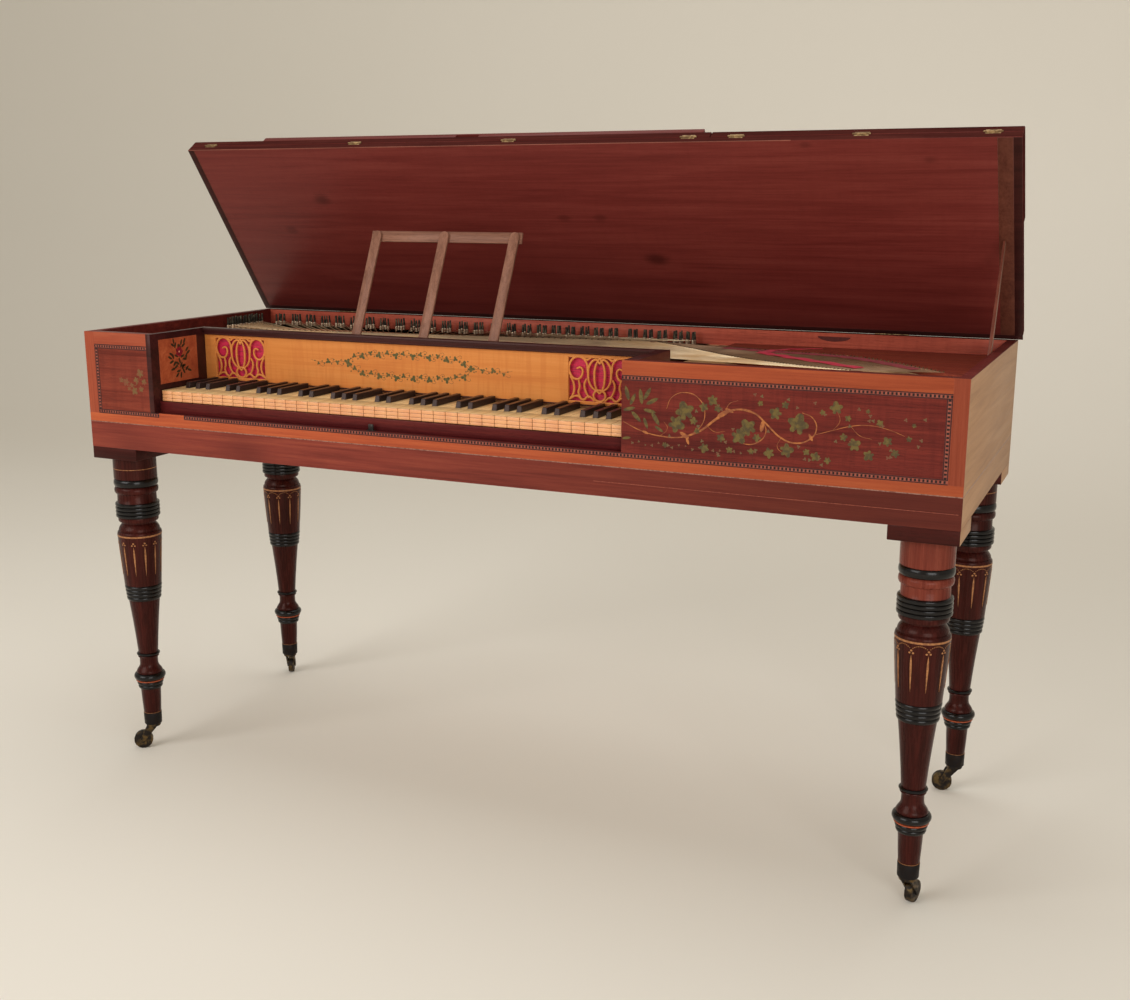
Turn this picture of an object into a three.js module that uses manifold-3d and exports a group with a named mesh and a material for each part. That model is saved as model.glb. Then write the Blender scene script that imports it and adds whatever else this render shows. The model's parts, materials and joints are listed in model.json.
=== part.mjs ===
// Square piano: a shallow rectangular case on four turned legs with casters,
// a 68-note keyboard set to the left, and a folding lid held open by a prop stick.
// Millimetres, +Z up. X runs to the treble, Y to the back, the floor is Z = 0.
import * as THREE from "three";
import { mergeVertices } from "three/addons/utils/BufferGeometryUtils.js";
import Module from "manifold-3d";

const wasm = await Module();
wasm.setup();

// Case
const caseLength = 1610;
const caseDepth = 566;
const caseHeight = 218.5;
const endWall = 17;
const backWall = 17;
const frontWall = 20;
const bottomThickness = 40;
const railHeight = 73.5;

// Legs and casters
const blockSide = 104;
const blockThickness = 22.5;
const legLength = 550;
const legRadius = 45;
const legSegments = 12;
const casterHeight = 52;
const wheelRadius = 18;
const wheelWidth = 12;
const wheelSegments = 16;
const axleRadius = 2.5;
const casterTrail = 21;
const forkArm = 3;
const crownRadius = 14;
const crownThickness = 5;
const crownFrontShare = 0.7;
const crownBackShare = 0.8;
const runningGap = 0.6;
const roundSegments = 12;
const axleSegments = 8;

// Keyboard
const naturalPitch = 23.15;
const naturalCount = 40;
const firstSeparateKey = 18;
const separateNaturals = 7;
const keyGap = 0.8;
const keyThickness = 19.5;
const headLength = 42;
const sharpWidth = 10;
const sharpRise = 11;
const sharpSlopeShare = 0.33;
const sharpLeverDrop = 3;
const keySetback = 21.5;
const leverGap = 58.5;
const pivotSetback = 245;
const keySideGap = 2.5;
const keyOverSlip = 0.5;

// Keywell
const leftBlockWidth = 146;
const cheekThickness = 10.5;
const slipThickness = 4;
const slipHeight = 20;
const nameboardSetback = 153;
const nameboardThickness = 7;
const nameboardLift = 4;
const bandHeight = 6;
const bandProud = 1.5;
const capHeight = 13;
const capProud = 6;
const capDepth = 19;
const fretAspect = 1.5775;
const fretFromCap = 4;
const fretFromBand = 7;
const leftFretInset = 28;
const rightFretInset = 46;
const silkThickness = 1;
const silkMargin = 8;
const silkLap = 1;
const silkStrapShare = 0.42;

// Lid, flaps and keyboard fall
const lidThickness = 15;
const lidGap = 0.5;
const lidOverhang = 8;
const foldSetback = 164.7;
const lidAngle = 55.4;
const hingeRadius = 4;
const hingeClearance = 0.3;
const hingeLength = 62;
const hingeInset = 190;
const hingeLeaf = 1.5;
const hingeLeafHeight = 24;
const foldClearance = 0.2;
const flapGap = 0.5;
const flapSplitInset = 17.5;
const fallThickness = 15;
const fallSideGap = 1.25;
const lockLength = 48;
const lockHeight = 14;
const lockWidth = 8;
const catchLength = 10;
const catchThickness = 3;
const catchHeight = 11;

// Music desk
const deskLean = 18;
const deskSideAngle = 4.5;
const deskPitch = 142.5;
const deskInset = 323;
const deskPivotShare = 0.6197;
const deskCount = 3;
const uprightWidth = 19;
const uprightThickness = 4.5;
const uprightLength = 232;
const deskRailHeight = 20;
const deskRailEnd = 13;
const stripEndSteps = 6;
const battenShare = 0.338;
const battenMargin = 18;
const battenDepth = 8;
const clearance = 0.3;

// Prop stick
const stickWidth = 12;
const stickThickness = 6;
const stickFromBack = 221;
const stickDrop = 12;
const stickAngle = 62;
const stickTipGap = 0.7;
const stickWallGap = 0.5;

// Action, soundboard and strings
const courseCount = 68;
const frameRailWidth = 20;
const frameRailDrop = 10;
const frameEndWidth = 12;
const ridgeWidth = 6;
const leverRest = 0.4;
const hammerRailInset = 6.5;
const hammerRailWidth = 20;
const railLiftShare = 0.387;
const railHeightShare = 0.205;
const hammerPostWidth = 5;
const hammerReach = 55;
const hammerShank = 4;
const hammerHead = 8;
const hammerWidth = 6;
const hammerDropShare = 0.137;
const plankDrop = 31;
const plankDepth = 69;
const plankShortfall = 42.5;
const plankArmWidth = 58;
const plankArmLength = 140;
const pinHeight = 26;
const pinSide = 3;
const pinSpacing = 5;
const pinRowSpacing = 12;
const pinGroups = 28;
const pinsPerGroup = 4;
const firstPinInset = 37;
const lastPinInset = 35.2;
const pinSetIn = 14;
const cornerGroups = 6;
const cornerGroupInset = 22;
const soundboardThickness = 4;
const soundboardDrop = 32;
const stringDrop = 17.2;
const stringSize = 0.8;
const bridgeWidth = 14;
const bridgeGap = 0.3;
const bellyThickness = 14;
const tongueReachShare = 0.16;
const tongueTipShare = 0.815;
const tongueRootShare = 0.6;
const bellyGap = 1;
const hitchRailDepth = 38;
const hitchRailRise = 1;
const hitchOverlap = 5;

// Heights and edges worked out from the sizes above
const rad = Math.PI / 180;
const blockBottom = casterHeight + legLength;
const caseBottom = blockBottom + blockThickness;
const caseTop = caseBottom + caseHeight;
const floorTop = caseBottom + bottomThickness;
const ledge = caseBottom + railHeight;
const rightInner = caseLength - endWall;
const backInner = caseDepth - backWall;
const keywellLeft = leftBlockWidth + cheekThickness;
const keyboardLeft = keywellLeft + keySideGap;
const keywellRight = keyboardLeft + naturalPitch * naturalCount + keySideGap;
const keyboardMiddle = (keywellLeft + keywellRight) / 2;
const flapSplit = keywellRight + flapSplitInset;
const slipFront = frontWall - slipThickness;
const keyBottom = ledge + slipHeight + keyOverSlip;
const naturalTop = keyBottom + keyThickness;
const pivotY = keySetback + pivotSetback;
const nameboardFoot = naturalTop + nameboardLift;
const nameboardBack = nameboardSetback + nameboardThickness;
const capBottom = caseTop - capHeight;
const capFront = nameboardSetback - capProud;
const capBack = capFront + capDepth;
const soundboardTop = caseTop - soundboardDrop;
const soundboardBottom = soundboardTop - soundboardThickness;
const stringBottom = caseTop - stringDrop;
const bellyLeft = keywellRight + hammerPostWidth;
const insideLength = rightInner - endWall;
const insideDepth = backInner - frontWall;
const plankTop = caseTop - plankDrop;
const plankFront = backInner - plankDepth;
const leverEnd = plankFront - leverGap;
const hammerRailFront = leverEnd - hammerRailInset - hammerRailWidth;
const plankEnd = keywellRight - plankShortfall;
const tongueLeft = bellyLeft - tongueReachShare * (keywellRight - keywellLeft);

// Materials
const finishes = {
  crossband: [0xb4603a, 0.35],
  mahogany: [0x6e2a24, 0.4],
  darkWood: [0x2c1214, 0.4],
  satinwood: [0xd78c41, 0.35],
  lid: [0x6a2823, 0.45],
  faded: [0xa58264, 0.6],
  leg: [0x5a1c1c, 0.25],
  spruce: [0xd8b070, 0.55],
  silk: [0xcd2350, 0.8],
  ivory: [0xebc382, 0.35],
  deskWood: [0x8c6455, 0.6],
  iron: [0x3a3835, 0.45],
  brass: [0xb08d57, 0.35],
};
const metals = ["iron", "brass"];

function material(finish) {
  const [color, roughness] = finishes[finish];
  const metalness = metals.includes(finish) ? 0.9 : 0;
  return new THREE.MeshStandardMaterial({ color, roughness, metalness });
}

function mesh(name, geometry, finish, parent) {
  const piece = new THREE.Mesh(geometry, material(finish));
  piece.name = name;
  parent.add(piece);
  return piece;
}

// Joins and cuts
function solid(geometry) {
  const bare = geometry.clone();
  bare.deleteAttribute("normal");
  bare.deleteAttribute("uv");
  const merged = mergeVertices(bare);
  return new wasm.Manifold(
    new wasm.Mesh({
      numProp: 3,
      vertProperties: new Float32Array(merged.attributes.position.array),
      triVerts: new Uint32Array(merged.index.array),
    }),
  );
}

function surface(manifold) {
  const { vertProperties, triVerts } = manifold.getMesh();
  const geometry = new THREE.BufferGeometry();
  geometry.setAttribute("position", new THREE.BufferAttribute(new Float32Array(vertProperties), 3));
  geometry.setIndex(new THREE.BufferAttribute(new Uint32Array(triVerts), 1));
  geometry.computeVertexNormals();
  return geometry;
}

function join(geometries) {
  return surface(geometries.map(solid).reduce((whole, piece) => whole.add(piece)));
}

function cut(geometry, tools) {
  return surface(tools.map(solid).reduce((rest, tool) => rest.subtract(tool), solid(geometry)));
}

// Basic forms, each given by the planes that bound it
function block(x0, x1, y0, y1, z0, z1) {
  const geometry = new THREE.BoxGeometry(x1 - x0, y1 - y0, z1 - z0);
  return geometry.translate((x0 + x1) / 2, (y0 + y1) / 2, (z0 + z1) / 2);
}

function outline(points) {
  return new THREE.Shape(points.map(([u, v]) => new THREE.Vector2(u, v)));
}

function extrude(shape, depth) {
  return new THREE.ExtrudeGeometry(shape, { depth, bevelEnabled: false, curveSegments: roundSegments });
}

function alongX(shape, x0, x1) {
  const turn = new THREE.Matrix4().makeBasis(
    new THREE.Vector3(0, 1, 0),
    new THREE.Vector3(0, 0, 1),
    new THREE.Vector3(1, 0, 0),
  );
  return extrude(shape, x1 - x0).applyMatrix4(turn).translate(x0, 0, 0);
}

function alongY(shape, y0, y1) {
  return extrude(shape, y1 - y0).rotateX(Math.PI / 2).translate(0, y1, 0);
}

function alongZ(shape, z0, z1) {
  return extrude(shape, z1 - z0).translate(0, 0, z0);
}

function turned(profile, segments) {
  const points = profile.map(([r, z]) => new THREE.Vector2(r, z));
  return new THREE.LatheGeometry(points, segments).rotateX(Math.PI / 2);
}

function place(parent, x, y, z, name = "") {
  const group = new THREE.Group();
  group.position.set(x, y, z);
  group.name = name;
  parent.add(group);
  return group;
}

const group = new THREE.Group();
const piano = new THREE.Group();
group.add(piano);

// Case: bottom, end walls, spine and the front in three lengths
mesh("bottom_board", block(endWall, rightInner, frontWall, backInner, caseBottom, floorTop), "spruce", piano);
mesh("case_left_end", block(0, endWall, 0, caseDepth, caseBottom, caseTop), "faded", piano);
mesh("case_right_end", block(rightInner, caseLength, 0, caseDepth, caseBottom, caseTop), "faded", piano);
mesh("case_back", block(endWall, rightInner, backInner, caseDepth, caseBottom, caseTop), "lid", piano);
mesh("front_panel_left", block(endWall, leftBlockWidth, 0, frontWall, ledge, caseTop), "mahogany", piano);
mesh("front_panel_right", block(keywellRight, rightInner, 0, frontWall, ledge, caseTop), "mahogany", piano);

// The front rail carries the catch that the fall's lock closes over
function frontRail() {
  const rail = block(endWall, rightInner, 0, frontWall, caseBottom, ledge);
  const middle = fallThickness / 2;
  const stem = block(
    keyboardMiddle - catchLength / 2,
    keyboardMiddle + catchLength / 2,
    middle - catchThickness / 2,
    middle + catchThickness / 2,
    ledge - catchThickness,
    ledge + catchHeight,
  );
  return join([rail, stem]);
}
mesh("front_rail", frontRail(), "crossband", piano);

mesh(
  "key_slip",
  block(keywellLeft, keywellRight, slipFront, frontWall, ledge, ledge + slipHeight),
  "mahogany",
  piano,
);

// Keywell: two cheeks, the right one running on as the belly rail under the soundboard
function leftCheek() {
  const side = outline([
    [0, ledge],
    [frontWall, ledge],
    [frontWall, floorTop],
    [capBack, floorTop],
    [capBack, caseTop],
    [0, caseTop],
  ]);
  return alongX(side, leftBlockWidth, keywellLeft);
}

function rightCheek() {
  const cheek = block(keywellRight, bellyLeft + bellyThickness, frontWall, capBack, floorTop, caseTop);
  const belly = block(
    bellyLeft,
    bellyLeft + bellyThickness,
    frontWall,
    plankFront - bellyGap,
    floorTop,
    soundboardBottom,
  );
  return join([cheek, belly]);
}
mesh("keywell_cheek_left", leftCheek(), "darkWood", piano);
mesh("keywell_cheek_right", rightCheek(), "darkWood", piano);

const fretTop = capBottom - fretFromCap;
const fretBottom = nameboardFoot + bandHeight + fretFromBand;
const fretHeight = fretTop - fretBottom;
const fretWidth = fretAspect * fretHeight;

// Pierced scrollwork: pointed slots and round eyes, mirrored about the middle
const slotShares = [
  [0, 0.56, 0.1, 0.66, 0],
  [0.15, 0.6, 0.085, 0.6, -20],
  [0.3, 0.3, 0.09, 0.42, 38],
  [0.4, 0.62, 0.075, 0.4, -24],
  [0.22, 0.14, 0.07, 0.24, 78],
  [0.3, 0.88, 0.07, 0.26, 68],
];
const eyeShares = [
  [0, 0.13, 0.075],
  [0.1, 0.9, 0.04],
  [0.44, 0.12, 0.04],
  [0.45, 0.9, 0.035],
];
const slotSteps = 4;
const eyeSteps = 8;

function slot(cx, cz, width, height, angle) {
  const points = [];
  for (let side = 0; side < 2; side += 1) {
    for (let step = 0; step < slotSteps; step += 1) {
      const turn = (step / slotSteps) * Math.PI;
      const across = (side ? -1 : 1) * (width / 2) * Math.sin(turn);
      const along = (side ? 1 : -1) * (height / 2) * Math.cos(turn);
      const c = Math.cos(angle);
      const s = Math.sin(angle);
      points.push([cx + across * c - along * s, cz + across * s + along * c]);
    }
  }
  return outline(points);
}

function eye(cx, cz, radius) {
  const points = [];
  for (let step = 0; step < eyeSteps; step += 1) {
    const turn = (step / eyeSteps) * 2 * Math.PI;
    points.push([cx + radius * Math.cos(turn), cz + radius * Math.sin(turn)]);
  }
  return outline(points);
}

function fretCutters(left, bottom) {
  const middle = left + fretWidth / 2;
  const shapes = [];
  for (const [across, up, width, height, angle] of slotShares) {
    for (const hand of across ? [-1, 1] : [1]) {
      const cx = middle + hand * across * fretWidth;
      const cz = bottom + up * fretHeight;
      shapes.push(slot(cx, cz, width * fretWidth, height * fretHeight, hand * angle * rad));
    }
  }
  for (const [across, up, size] of eyeShares) {
    for (const hand of across ? [-1, 1] : [1]) {
      shapes.push(eye(middle + hand * across * fretWidth, bottom + up * fretHeight, size * fretWidth));
    }
  }
  const before = nameboardSetback - nameboardThickness;
  const behind = nameboardBack + nameboardThickness;
  return shapes.map((shape) => alongY(shape, before, behind));
}

const leftFret = keywellLeft + leftFretInset;
const rightFret = keywellRight - rightFretInset - fretWidth;
const deskPivotZ = fretBottom + deskPivotShare * fretHeight;
const battenHeight = battenShare * fretHeight;
const battenLow = deskPivotZ - battenHeight / 2;
const battenHigh = deskPivotZ + battenHeight / 2;
const deskPivotY = nameboardBack + battenDepth;
const deskFirst = keywellLeft + deskInset;
const deskTangent = Math.tan(deskLean * rad);

// The desk batten's back face leans with the desk
function deskBatten() {
  const face = deskPivotY - clearance / Math.cos(deskLean * rad);
  const side = outline([
    [nameboardSetback + nameboardThickness / 2, battenLow],
    [face + (battenLow - deskPivotZ) * deskTangent, battenLow],
    [face + (battenHigh - deskPivotZ) * deskTangent, battenHigh],
    [nameboardSetback + nameboardThickness / 2, battenHigh],
  ]);
  const last = deskFirst + (deskCount - 1) * deskPitch;
  return alongX(side, deskFirst - battenMargin, last + battenMargin);
}

function nameboard() {
  const board = block(keywellLeft, keywellRight, nameboardSetback, nameboardBack, nameboardFoot, capBottom);
  const pierced = cut(board, [...fretCutters(leftFret, fretBottom), ...fretCutters(rightFret, fretBottom)]);
  const band = block(
    keywellLeft,
    keywellRight,
    nameboardSetback - bandProud,
    nameboardBack,
    nameboardFoot,
    nameboardFoot + bandHeight,
  );
  return join([pierced, band, deskBatten()]);
}
mesh("nameboard", nameboard(), "satinwood", piano);
mesh("nameboard_cap", block(keywellLeft, keywellRight, capFront, capBack, capBottom, caseTop), "darkWood", piano);

// One strip of silk hangs behind both frets and passes under the desk batten
function silk() {
  const low = fretBottom - silkLap;
  const high = capBottom;
  const strap = low + silkStrapShare * (battenLow - low);
  const a = leftFret - silkMargin;
  const b = leftFret + fretWidth + silkMargin;
  const c = rightFret - silkMargin;
  const d = rightFret + fretWidth + silkMargin;
  const front = outline([
    [a, low],
    [d, low],
    [d, high],
    [c, high],
    [c, strap],
    [b, strap],
    [b, high],
    [a, high],
  ]);
  return alongY(front, nameboardBack, nameboardBack + silkThickness);
}
mesh("fret_silk", silk(), "silk", piano);

// Keys, counted from the lowest F; a sharp stands after these steps of each octave
const sharpAfter = [0, 1, 2, 4, 5];
const naturalsPerOctave = 7;

function hasSharp(after) {
  return after >= 0 && after < naturalCount - 1 && sharpAfter.includes(after % naturalsPerOctave);
}

function naturalKey(index) {
  const left = keyboardLeft + index * naturalPitch + keyGap / 2;
  const right = left + naturalPitch - keyGap;
  const notch = sharpWidth / 2 + keyGap / 2;
  const tailLeft = hasSharp(index - 1) ? left + notch : left;
  const tailRight = hasSharp(index) ? right - notch : right;
  const shoulder = keySetback + headLength;
  const plan = outline([
    [left, keySetback],
    [right, keySetback],
    [right, shoulder],
    [tailRight, shoulder],
    [tailRight, leverEnd],
    [tailLeft, leverEnd],
    [tailLeft, shoulder],
    [left, shoulder],
  ]);
  return alongZ(plan, keyBottom, naturalTop);
}

function sharpKey(after) {
  const middle = keyboardLeft + (after + 1) * naturalPitch;
  const front = keySetback + headLength + keyGap;
  const capEnd = nameboardSetback - bandProud - keyGap;
  const side = outline([
    [front, keyBottom],
    [leverEnd, keyBottom],
    [leverEnd, naturalTop - sharpLeverDrop],
    [capEnd, naturalTop - sharpLeverDrop],
    [capEnd, naturalTop + sharpRise],
    [front + sharpSlopeShare * sharpRise, naturalTop + sharpRise],
    [front, naturalTop],
  ]);
  return alongX(side, middle - sharpWidth / 2, middle + sharpWidth / 2);
}

// The keys outside the middle octave are held together behind the nameboard
function keyBank(from, to) {
  const keys = [];
  for (let index = from; index <= to; index += 1) {
    keys.push(naturalKey(index));
    if (hasSharp(index) && index < to) {
      keys.push(sharpKey(index));
    }
  }
  const left = keyboardLeft + from * naturalPitch + keyGap;
  const right = keyboardLeft + (to + 1) * naturalPitch - keyGap;
  const strip = block(
    left,
    right,
    nameboardBack + keyThickness,
    nameboardBack + 2 * keyThickness,
    keyBottom + sharpLeverDrop,
    naturalTop - sharpLeverDrop,
  );
  return join([...keys, strip]);
}

const noteNames = ["c", "d", "e", "f", "g", "a", "b"];
const separateKeys = new THREE.Group();
piano.add(separateKeys);
for (let step = 0; step < separateNaturals; step += 1) {
  const index = firstSeparateKey + step;
  mesh(`key_${noteNames[step]}`, naturalKey(index), "ivory", separateKeys);
  if (hasSharp(index)) {
    mesh(`key_${noteNames[step]}_sharp`, sharpKey(index), "darkWood", separateKeys);
  }
}
mesh("keys_bass", keyBank(0, firstSeparateKey - 1), "ivory", piano);
mesh("keys_treble", keyBank(firstSeparateKey + separateNaturals, naturalCount - 1), "ivory", piano);
place(piano, 0, pivotY, keyBottom, "key_pivot");

// Key frame: front, balance and back rails between two ends, on the bottom board
function keyFrame() {
  const left = keywellLeft + keyGap;
  const right = keywellRight - keyGap;
  const railTop = ledge + slipHeight - frameRailDrop;
  const frontY = keySetback + frameRailWidth / 2;
  const backY = leverEnd - frameRailWidth - keyGap;
  const base = (floorTop + railTop) / 2;
  const ridge = outline([
    [pivotY - frameRailWidth / 2, floorTop],
    [pivotY + frameRailWidth / 2, floorTop],
    [pivotY + frameRailWidth / 2, railTop],
    [pivotY + ridgeWidth / 2, keyBottom - leverRest],
    [pivotY - ridgeWidth / 2, keyBottom - leverRest],
    [pivotY - frameRailWidth / 2, railTop],
  ]);
  return join([
    block(left, right, frontY, frontY + frameRailWidth, floorTop, railTop),
    alongX(ridge, left, right),
    block(left, right, backY, backY + frameRailWidth, floorTop, keyBottom - leverRest),
    block(left, left + frameEndWidth, frontY, backY + frameRailWidth, floorTop, base),
    block(right - frameEndWidth, right, frontY, backY + frameRailWidth, floorTop, base),
  ]);
}
mesh("key_frame", keyFrame(), "spruce", piano);

// Hammer rail on two posts, with one hammer for each course of strings
function hammerRail() {
  const space = stringBottom - naturalTop;
  const low = naturalTop + railLiftShare * space;
  const high = low + railHeightShare * space;
  const left = leftBlockWidth - hammerPostWidth;
  const right = bellyLeft - clearance;
  const back = hammerRailFront + hammerRailWidth;
  const pieces = [
    block(left, right, hammerRailFront, back, low, high),
    block(left, left + hammerPostWidth, hammerRailFront, back, floorTop, (low + high) / 2),
    block(right - hammerPostWidth, right, hammerRailFront, back, floorTop, (low + high) / 2),
  ];
  const first = keyboardLeft + hammerWidth;
  const span = tongueLeft - 2 * hammerWidth - first;
  const shank = (low + high) / 2;
  const headTop = stringBottom - hammerDropShare * space;
  for (let index = 0; index < courseCount; index += 1) {
    const middle = first + (span * index) / (courseCount - 1);
    const side = outline([
      [hammerRailFront + hammerShank, shank],
      [hammerRailFront + hammerShank, shank + hammerShank],
      [hammerRailFront - hammerReach + hammerHead, shank + hammerShank],
      [hammerRailFront - hammerReach + hammerHead, headTop],
      [hammerRailFront - hammerReach, headTop],
      [hammerRailFront - hammerReach, shank],
    ]);
    pieces.push(alongX(side, middle - hammerWidth / 2, middle + hammerWidth / 2));
  }
  return join(pieces);
}
mesh("hammer_rail", hammerRail(), "mahogany", piano);

// Wrest plank along the back and part of the left end, with its tuning pins
function tuningPin(x, y) {
  return block(
    x - pinSide / 2,
    x + pinSide / 2,
    y - pinSide / 2,
    y + pinSide / 2,
    plankTop - pinSide,
    plankTop + pinHeight,
  );
}

function wrestPlank() {
  const plan = outline([
    [endWall, plankFront - plankArmLength],
    [endWall + plankArmWidth, plankFront - plankArmLength],
    [endWall + plankArmWidth, plankFront],
    [plankEnd, plankFront],
    [plankEnd, backInner],
    [endWall, backInner],
  ]);
  const pieces = [alongZ(plan, floorTop, plankTop)];
  const half = ((pinsPerGroup - 1) * pinSpacing) / 2;
  const firstGroup = endWall + firstPinInset;
  const groupPitch = (plankEnd - lastPinInset - firstGroup) / (pinGroups - 1);
  const cornerPitch = (plankArmLength - cornerGroupInset) / cornerGroups;
  for (let pin = 0; pin < pinsPerGroup; pin += 1) {
    const along = pin * pinSpacing - half;
    const setIn = (pin % 2) * pinRowSpacing;
    for (let set = 0; set < pinGroups; set += 1) {
      pieces.push(tuningPin(firstGroup + set * groupPitch + along, backInner - pinSetIn - setIn));
    }
    for (let set = 0; set < cornerGroups; set += 1) {
      pieces.push(tuningPin(endWall + cornerGroupInset + setIn, plankFront - set * cornerPitch - along));
    }
  }
  return join(pieces);
}
mesh("wrest_plank", wrestPlank(), "mahogany", piano);

// Soundboard: over the belly rail, with a tongue that reaches the wrest plank
function soundboard() {
  const left = bellyLeft + bellyThickness;
  const plan = outline([
    [left, frontWall],
    [rightInner, frontWall],
    [rightInner, backInner],
    [plankEnd, backInner],
    [plankEnd, plankFront],
    [tongueLeft, plankFront],
    [tongueLeft, frontWall + tongueTipShare * insideDepth],
    [bellyLeft, frontWall + tongueRootShare * insideDepth],
    [bellyLeft, capBack],
    [left, capBack],
  ]);
  return alongZ(plan, soundboardBottom, soundboardTop);
}
mesh("soundboard", soundboard(), "spruce", piano);

// Speaking lengths: nut, bridge and hitch lines from the bass course to the treble course,
// as shares of the case's inside length and depth
const nutShares = [
  [0.018, 0.655],
  [0.58, 0.895],
];
const bridgeShares = [
  [0.886, 0.312],
  [0.81, 0.39],
  [0.7437, 0.493],
  [0.67, 0.675],
  [0.6, 0.845],
];
const hitchShares = [
  [0.975, 0.365],
  [0.86, 0.665],
  [0.765, 0.72],
  [0.685, 0.785],
];

function curveOf(shares) {
  const points = shares.map(
    ([u, v]) => new THREE.Vector3(endWall + u * insideLength, frontWall + v * insideDepth, 0),
  );
  return new THREE.CatmullRomCurve3(points);
}

const nutCurve = curveOf(nutShares);
const bridgeCurve = curveOf(bridgeShares);
const hitchCurve = curveOf(hitchShares);
const bridgeSteps = 14;
const bridgeEndShare = 0.03;

function bandPlan(curve, steps, nearOffset, farOffset) {
  const near = [];
  const far = [];
  for (let step = 0; step <= steps; step += 1) {
    const at = curve.getPoint(step / steps);
    near.push([at.x + nearOffset.x, at.y + nearOffset.y]);
    far.unshift([at.x + farOffset.x, at.y + farOffset.y]);
  }
  return outline([...near, ...far]);
}

function bridge() {
  const half = new THREE.Vector2(bridgeWidth / 2, bridgeWidth / 2);
  const plan = bandPlan(bridgeCurve, bridgeSteps, half.clone().negate(), half);
  return alongZ(plan, soundboardTop, stringBottom - bridgeGap);
}
mesh("bridge", bridge(), "mahogany", piano);

function wire(points) {
  const near = [];
  const far = [];
  points.forEach((at, index) => {
    const behind = points[Math.max(index - 1, 0)];
    const ahead = points[Math.min(index + 1, points.length - 1)];
    const run = ahead.clone().sub(behind).setLength(stringSize / 2);
    near.push([at.x + run.y, at.y - run.x]);
    far.unshift([at.x - run.y, at.y + run.x]);
  });
  return alongZ(outline([...near, ...far]), stringBottom, stringBottom + stringSize);
}

// The hitch rail and its strings; each course is one wire here
function strings() {
  const back = new THREE.Vector2(0, hitchRailDepth);
  const front = new THREE.Vector2(0, -hitchOverlap);
  const railTop = stringBottom + stringSize + hitchRailRise;
  const pieces = [alongZ(bandPlan(hitchCurve, bridgeSteps, front, back), soundboardTop, railTop)];
  for (let index = 0; index < courseCount; index += 1) {
    const share = index / (courseCount - 1);
    const along = bridgeEndShare + share * (1 - 2 * bridgeEndShare);
    const nut = nutCurve.getPoint(along);
    const crossing = bridgeCurve.getPoint(along);
    const hitch = hitchCurve.getPoint(along);
    const reach = hitch.clone().sub(crossing);
    const end = crossing.clone().add(reach.multiplyScalar(1 + hitchOverlap / reach.length()));
    pieces.push(wire([nut, crossing, end]));
  }
  return join(pieces);
}
mesh("strings", strings(), "iron", piano);

// Legs: depth below the block as a share of the leg, radius there as a share of the largest
const legShares = [
  [0, 0.978],
  [0.071, 0.978],
  [0.073, 0.911],
  [0.078, 0.989],
  [0.098, 0.989],
  [0.107, 0.911],
  [0.12, 0.944],
  [0.129, 0.867],
  [0.156, 0.867],
  [0.16, 0.978],
  [0.173, 1],
  [0.191, 0.944],
  [0.209, 1],
  [0.222, 0.978],
  [0.225, 0.844],
  [0.253, 0.844],
  [0.258, 0.744],
  [0.264, 0.744],
  [0.291, 0.978],
  [0.302, 0.989],
  [0.455, 0.789],
  [0.46, 0.822],
  [0.476, 0.833],
  [0.491, 0.789],
  [0.507, 0.833],
  [0.524, 0.8],
  [0.527, 0.722],
  [0.709, 0.467],
  [0.716, 0.522],
  [0.733, 0.522],
  [0.738, 0.411],
  [0.764, 0.411],
  [0.791, 0.578],
  [0.802, 0.689],
  [0.818, 0.711],
  [0.833, 0.622],
  [0.836, 0.578],
  [0.847, 0.556],
  [0.851, 0.433],
  [0.945, 0.367],
  [0.947, 0.389],
  [1, 0.389],
];

function leg() {
  const points = legShares.map(([down, out]) => [out * legRadius, (1 - down) * legLength]);
  return turned([[0, 0], ...points.reverse(), [0, legLength]], legSegments);
}

// Caster: a fork that turns under the leg and a wheel that trails behind it
function fork() {
  const crown = new THREE.CylinderGeometry(crownRadius, crownRadius, crownThickness, roundSegments);
  crown.rotateX(Math.PI / 2).translate(0, 0, casterHeight - clearance - crownThickness / 2);
  const under = casterHeight - clearance - crownThickness / 2;
  const boss = 2 * axleRadius;
  const side = outline([
    [crownFrontShare * crownRadius, under],
    [-crownBackShare * crownRadius, under],
    [-casterTrail - boss, wheelRadius + boss / 2],
    [-casterTrail - boss, wheelRadius - boss / 2],
    [-casterTrail - boss / 2, wheelRadius - boss],
    [-casterTrail + boss / 2, wheelRadius - boss],
    [-casterTrail + boss, wheelRadius],
  ]);
  const inside = wheelWidth / 2 + runningGap;
  const axle = new THREE.CylinderGeometry(axleRadius, axleRadius, 2 * inside + forkArm, axleSegments);
  axle.translate(-casterTrail, 0, wheelRadius);
  return join([crown, alongY(side, inside, inside + forkArm), alongY(side, -inside - forkArm, -inside), axle]);
}

function wheel() {
  const halfFacet = Math.PI / wheelSegments;
  const cornerRadius = wheelRadius / Math.cos(halfFacet);
  const tread = new THREE.CylinderGeometry(cornerRadius, cornerRadius, wheelWidth, wheelSegments);
  tread.rotateY(halfFacet);
  const boreRadius = axleRadius + runningGap;
  const bore = new THREE.CylinderGeometry(boreRadius, boreRadius, 2 * wheelWidth, roundSegments);
  return cut(tread, [bore]);
}

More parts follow.
